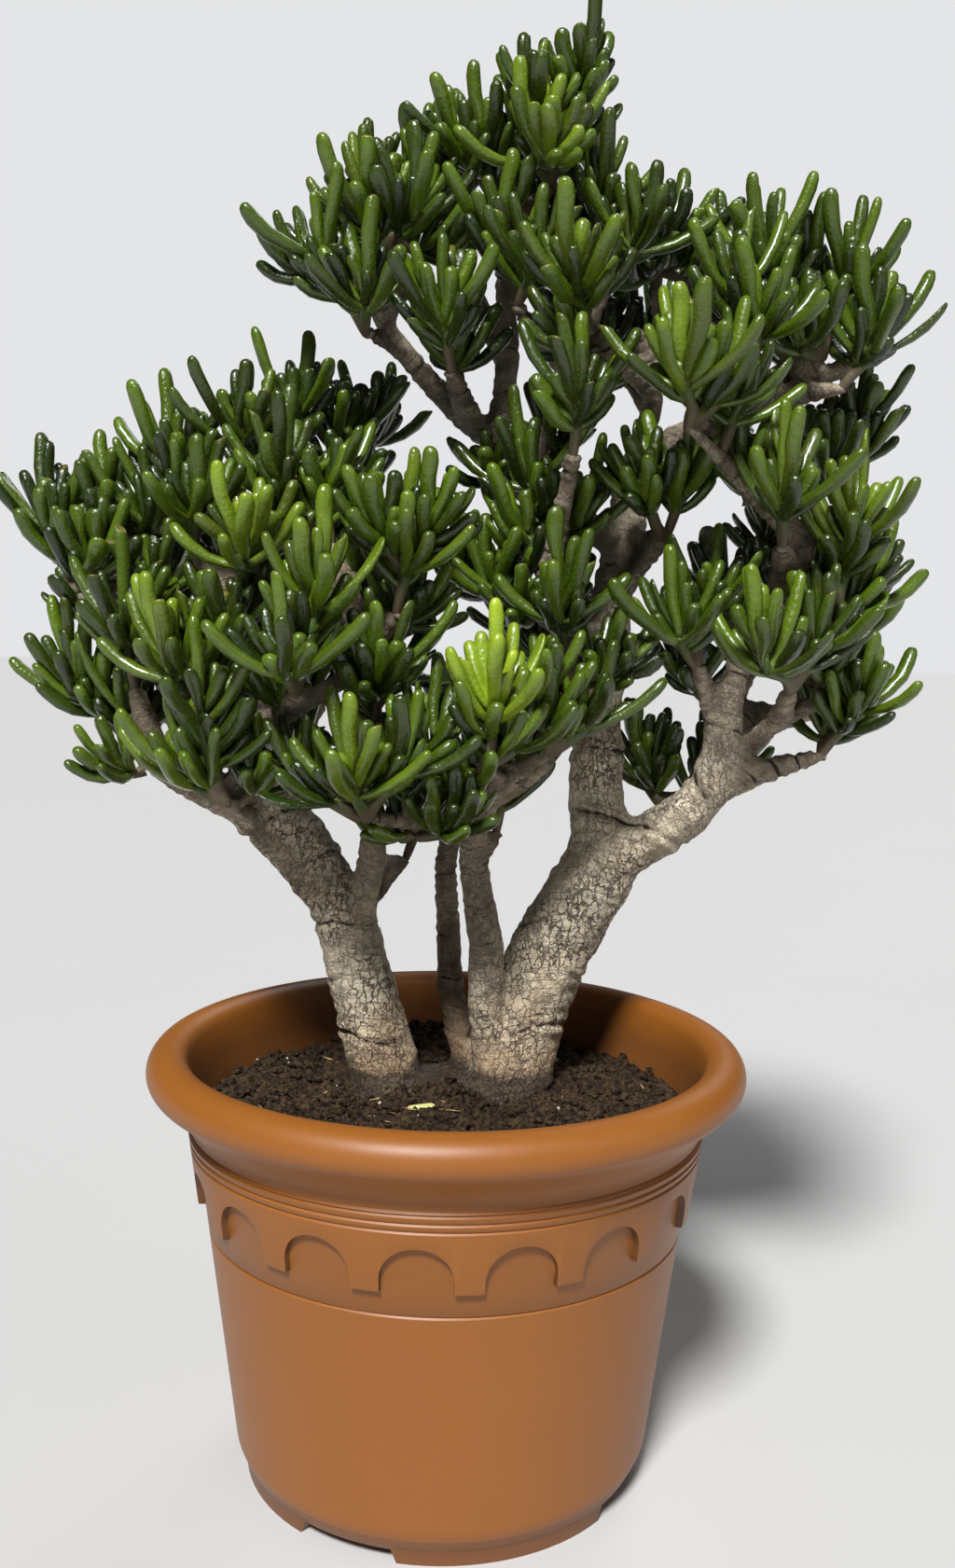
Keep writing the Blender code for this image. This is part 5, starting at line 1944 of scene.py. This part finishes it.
@dataclass
class Foliage:
    """All the leafy shoots: the leaves of the frame in fine form, and the many between them."""

    sites: int = 6
    per_site: int = 7
    trials: int = 12
    look_about: float = 0.075
    least_gap: float = 0.0047
    length: Point = (0.026, 0.048)
    shorter_inside: float = 0.35
    girth: Point = (0.76, 1.12)
    # Where along the stem the outermost leaves stand, and how much further the inmost ones do
    along_stem: Point = (0.42, 0.58)
    past_top: float = 0.004
    # How steep the outermost leaves are and how much steeper the inmost, in degrees, and the stray
    steep: Point = (30.0, 48.0)
    stray: float = 14.0
    upturn: Point = (0.7, 1.7)
    roll: float = 0.6
    tint_power: float = 1.7
    # How young the outermost leaves are, and how much younger the inmost
    youth: Point = (0.1, 1.1)
    youth_stray: Point = (0.5, 1.0)
    # For the leaves of the frame
    kept_bend: float = 0.46
    kept_sunk: float = 0.0022
    tip_lift: Point = (0.15, 0.8)
    kept_share: float = 0.93
    kept_girth: Point = (0.88, 1.10)
    kept_youth: Point = (0.6, 1.0)
    kept_roll: float = 0.5
    # For the side shoots
    side_drop: float = 0.012
    side_highest: float = 0.75
    side_upright: float = 0.8
    side_overlap: float = 0.001
    side_sag: float = 0.003
    # How many of all leaves end in each way
    ends: ClassVar[dict[Tip, float]] = {Tip.FINGER: 0.80, Tip.CUP: 0.06, Tip.SPOON: 0.14}
    side_form: ClassVar[tuple] = ((0.0, 0.95), (0.25, 0.86), (0.5, 0.82), (0.75, 0.76),
                                  (0.9, 0.6), (0.98, 0.34), (1.0, 0.0))
    draw: random.Random = field(default_factory=lambda: random.Random(SEED))

    def build(self) -> None:
        """Build and dress every shoot."""
        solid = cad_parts["wood"].data
        wood = BVHTree.FromPolygons([vert.co.copy() for vert in solid.vertices],
                                    [tuple(face.vertices) for face in solid.polygons])
        room = Room(wood)
        shoots = [Shoot(name) for name in sorted(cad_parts) if name.startswith("spray_")]
        for shoot in shoots:
            shoot.read(wood)
            for head in shoot.heads:
                head.leaves = [self.kept_leaf(line, head) for line in head.lines]
                for leaf in head.leaves:
                    room.add(leaf)
        heads = [head for shoot in shoots for head in shoot.heads]
        sides = [self.side_head(seen(*spot), heads, wood) for spot in SIDE_SHOOTS]
        for site in range(self.sites * self.per_site):
            for head in heads + sides:
                self.add_leaf(head, site, room)
        skins = [LeafSkin("leaf", 0.24).material(), StemSkin("stem", 0.55).material()]
        for shoot in shoots:
            self.build_shoot(shoot.node.replace("spray", "shoot"), shoot.heads, shoot.stems(),
                             skins, [shoot.node])
        for number, head in enumerate(sides, 1):
            self.build_shoot(f"side_shoot_{number:02}", [head], self.side_stem(head), skins, [])
        log.info("%d heads, %d leaves", len(heads + sides),
                 sum(len(head.leaves) for head in heads + sides))

    def side_head(self, place: Vector, heads: list[Head], wood: BVHTree) -> Head:
        """A head on a side shoot of its own, which the frame leaves out.

        Args:
            place: Where its top is.
            heads: The frame's heads, whose stems may carry it.
            wood: The skin of the wood, which may carry it too.

        Returns:
            The head.
        """
        feet = [wood.find_nearest(place - UP * self.side_drop)[0]]
        for head in heads:
            stem = head.top - head.foot
            share = min(self.side_highest,
                        max(0.0, (place - head.foot).dot(stem) / stem.length_squared))
            feet.append(head.foot + stem * share)
        foot = min(feet, key=lambda spot: (spot - place).length + 0.02 * (spot.z > place.z - 0.015))
        axis = ((place - foot).normalized() + UP * self.side_upright).normalized()
        return Head(foot, place, axis, youth_at(place))

    def side_stem(self, head: Head) -> tuple[list, list, list]:
        """The stem of a side shoot.

        Args:
            head: Its head.

        Returns:
            The stem's points, faces and how far each point is from its foot.
        """
        past = head.axis * self.side_overlap
        line = Leaf(head.foot - past, (head.foot + head.top) / 2 - UP * self.side_sag,
                    head.top + past, 1.0, Tip.FINGER, 0.0, 0.0, 0.0)
        mesh = LeafMesh()
        mesh.skin(line, self.side_form)
        return mesh.points, mesh.faces, mesh.marks["along"]

    def ending(self) -> Tip:
        """Draw how a leaf ends."""
        return self.draw.choices(tuple(self.ends), tuple(self.ends.values()))[0]

    def kept_leaf(self, line: tuple, head: Head) -> Leaf:
        """The fine form of a leaf of the frame.

        Args:
            line: Its root, the point where its solid bends and its tip.
            head: The head that holds it.

        Returns:
            The leaf.
        """
        root, halfway, tip = line
        share = self.kept_bend
        back = 1.0 - share
        bend = (halfway - root * back * back - tip * share * share) / (2.0 * share * back)
        inward = (root - bend).normalized() * self.kept_sunk
        outer = tip - bend
        turned = (outer.normalized() + UP * self.draw.uniform(*self.tip_lift)).normalized()
        curled = bend + turned * outer.length * self.kept_share
        upright = max(0.0, outer.normalized().dot(head.axis)) ** 3
        return Leaf(root + inward, bend, curled, self.draw.uniform(*self.kept_girth),
                    self.ending(), self.draw.random(),
                    head.youth * upright * self.draw.uniform(*self.kept_youth),
                    self.draw.uniform(-self.kept_roll, self.kept_roll))

    def add_leaf(self, head: Head, number: int, room: Room) -> None:
        """Add one more leaf to a head where it finds the widest gap.

        Args:
            head: The head.
            number: How many have been tried there before.
            room: Where leaves already are.
        """
        site = number % self.sites
        inner = 1.0 - site / (self.sites - 1)
        stem = head.top - head.foot
        start = (head.foot + stem * (self.along_stem[0] + self.along_stem[1] * inner)
                 + head.axis * self.past_top * inner)
        length = self.draw.uniform(*self.length)
        length *= 1.0 - self.shorter_inside * inner * self.draw.random()
        steep = math.radians(self.steep[0] + self.steep[1] * inner
                             + self.draw.uniform(-self.stray, self.stray))
        side = head.axis.orthogonal().normalized()
        others = room.near(start, self.look_about)
        best, best_gap = None, self.least_gap
        for trial in range(self.trials):
            turn = GOLDEN_TURN * number + math.tau * trial / self.trials
            out = Matrix.Rotation(turn, 3, head.axis) @ side
            way = out * math.cos(steep) + head.axis * math.sin(steep)
            after = (way + UP * self.draw.uniform(*self.upturn)).normalized()
            bend = start + way * length * 0.5
            leaf = Leaf(start, bend, bend + after * length * 0.5,
                        self.draw.uniform(*self.girth), Tip.FINGER, 0.0, 0.0, 0.0)
            gap = room.gap(leaf, others)
            if gap > best_gap:
                best, best_gap = leaf, gap
        if best is None:
            return
        best.end = self.ending()
        best.tint = self.draw.random() ** self.tint_power
        best.youth = min(1.0, head.youth * (self.youth[0] + self.youth[1] * inner)
                         * self.draw.uniform(*self.youth_stray))
        best.roll = self.draw.uniform(-self.roll, self.roll)
        head.leaves.append(best)
        room.add(best)

    def build_shoot(self, name: str, heads: list[Head], stem: tuple[list, list, list],
                    skins: list[bpy.types.Material], nodes: list[str]) -> None:
        """Build one shoot as a piece.

        Args:
            name: The piece's name.
            heads: Its heads.
            stem: The points and faces of its stems, and how far each point is from the foot.
            skins: The materials of leaf and stem.
            nodes: The solid that it replaces, if there is one.
        """
        mesh = LeafMesh()
        for head in heads:
            for leaf in head.leaves:
                mesh.add(leaf)
        points, faces, far = stem
        start = len(mesh.points)
        leaf_faces = len(mesh.faces)
        faces = mesh.faces + [tuple(start + i for i in face) for face in faces]
        marks = {"along": mesh.marks["along"] + far,
                 "tint": mesh.marks["tint"] + [0.5] * len(points),
                 "youth": mesh.marks["youth"] + [0.0] * len(points)}
        piece = add_piece(name, mesh.points + points, faces, skins, marks)
        kinds = np.zeros(len(faces), np.int32)
        kinds[leaf_faces:] = 1
        piece.data.polygons.foreach_set("material_index", kinds)
        add_to_part(piece, "leaf", *nodes)


@dataclass
class FallenLeaf:
    """The yellowed leaf that lies on the soil."""

    def build(self) -> None:
        """Build it where the frame has it."""
        low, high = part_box("fallen_leaf")
        middle = (low + high) / 2
        length = high.x - low.x
        end = Vector((length / 2, 0.0, 0.0))
        leaf = Leaf(middle - end, middle + Vector((0.0, 0.0015, 0.0006)), middle + end, 0.62,
                    Tip.FINGER, 1.0, 1.0, 0.1)
        mesh = LeafMesh()
        mesh.add(leaf)
        skin = LeafSkin("fallen_leaf", 0.5, deep=(0.50, 0.46, 0.14), green=(0.60, 0.56, 0.20),
                        young=(0.62, 0.60, 0.22), foot=(0.42, 0.30, 0.12)).material()
        piece = add_piece("yellow_leaf", mesh.points, mesh.faces, [skin], mesh.marks)
        add_to_part(piece, "fallen_leaf", "fallen_leaf")


def main() -> None:
    """Build the whole plant in its pot."""
    logging.basicConfig(level=logging.INFO, format="%(name)s: %(message)s")
    for part in (Studio(), Pot(), Soil(), Wood(), Foliage(), FallenLeaf()):
        log.info("building %s", type(part).__name__)
        part.build()


if __name__ == "__main__":
    main()
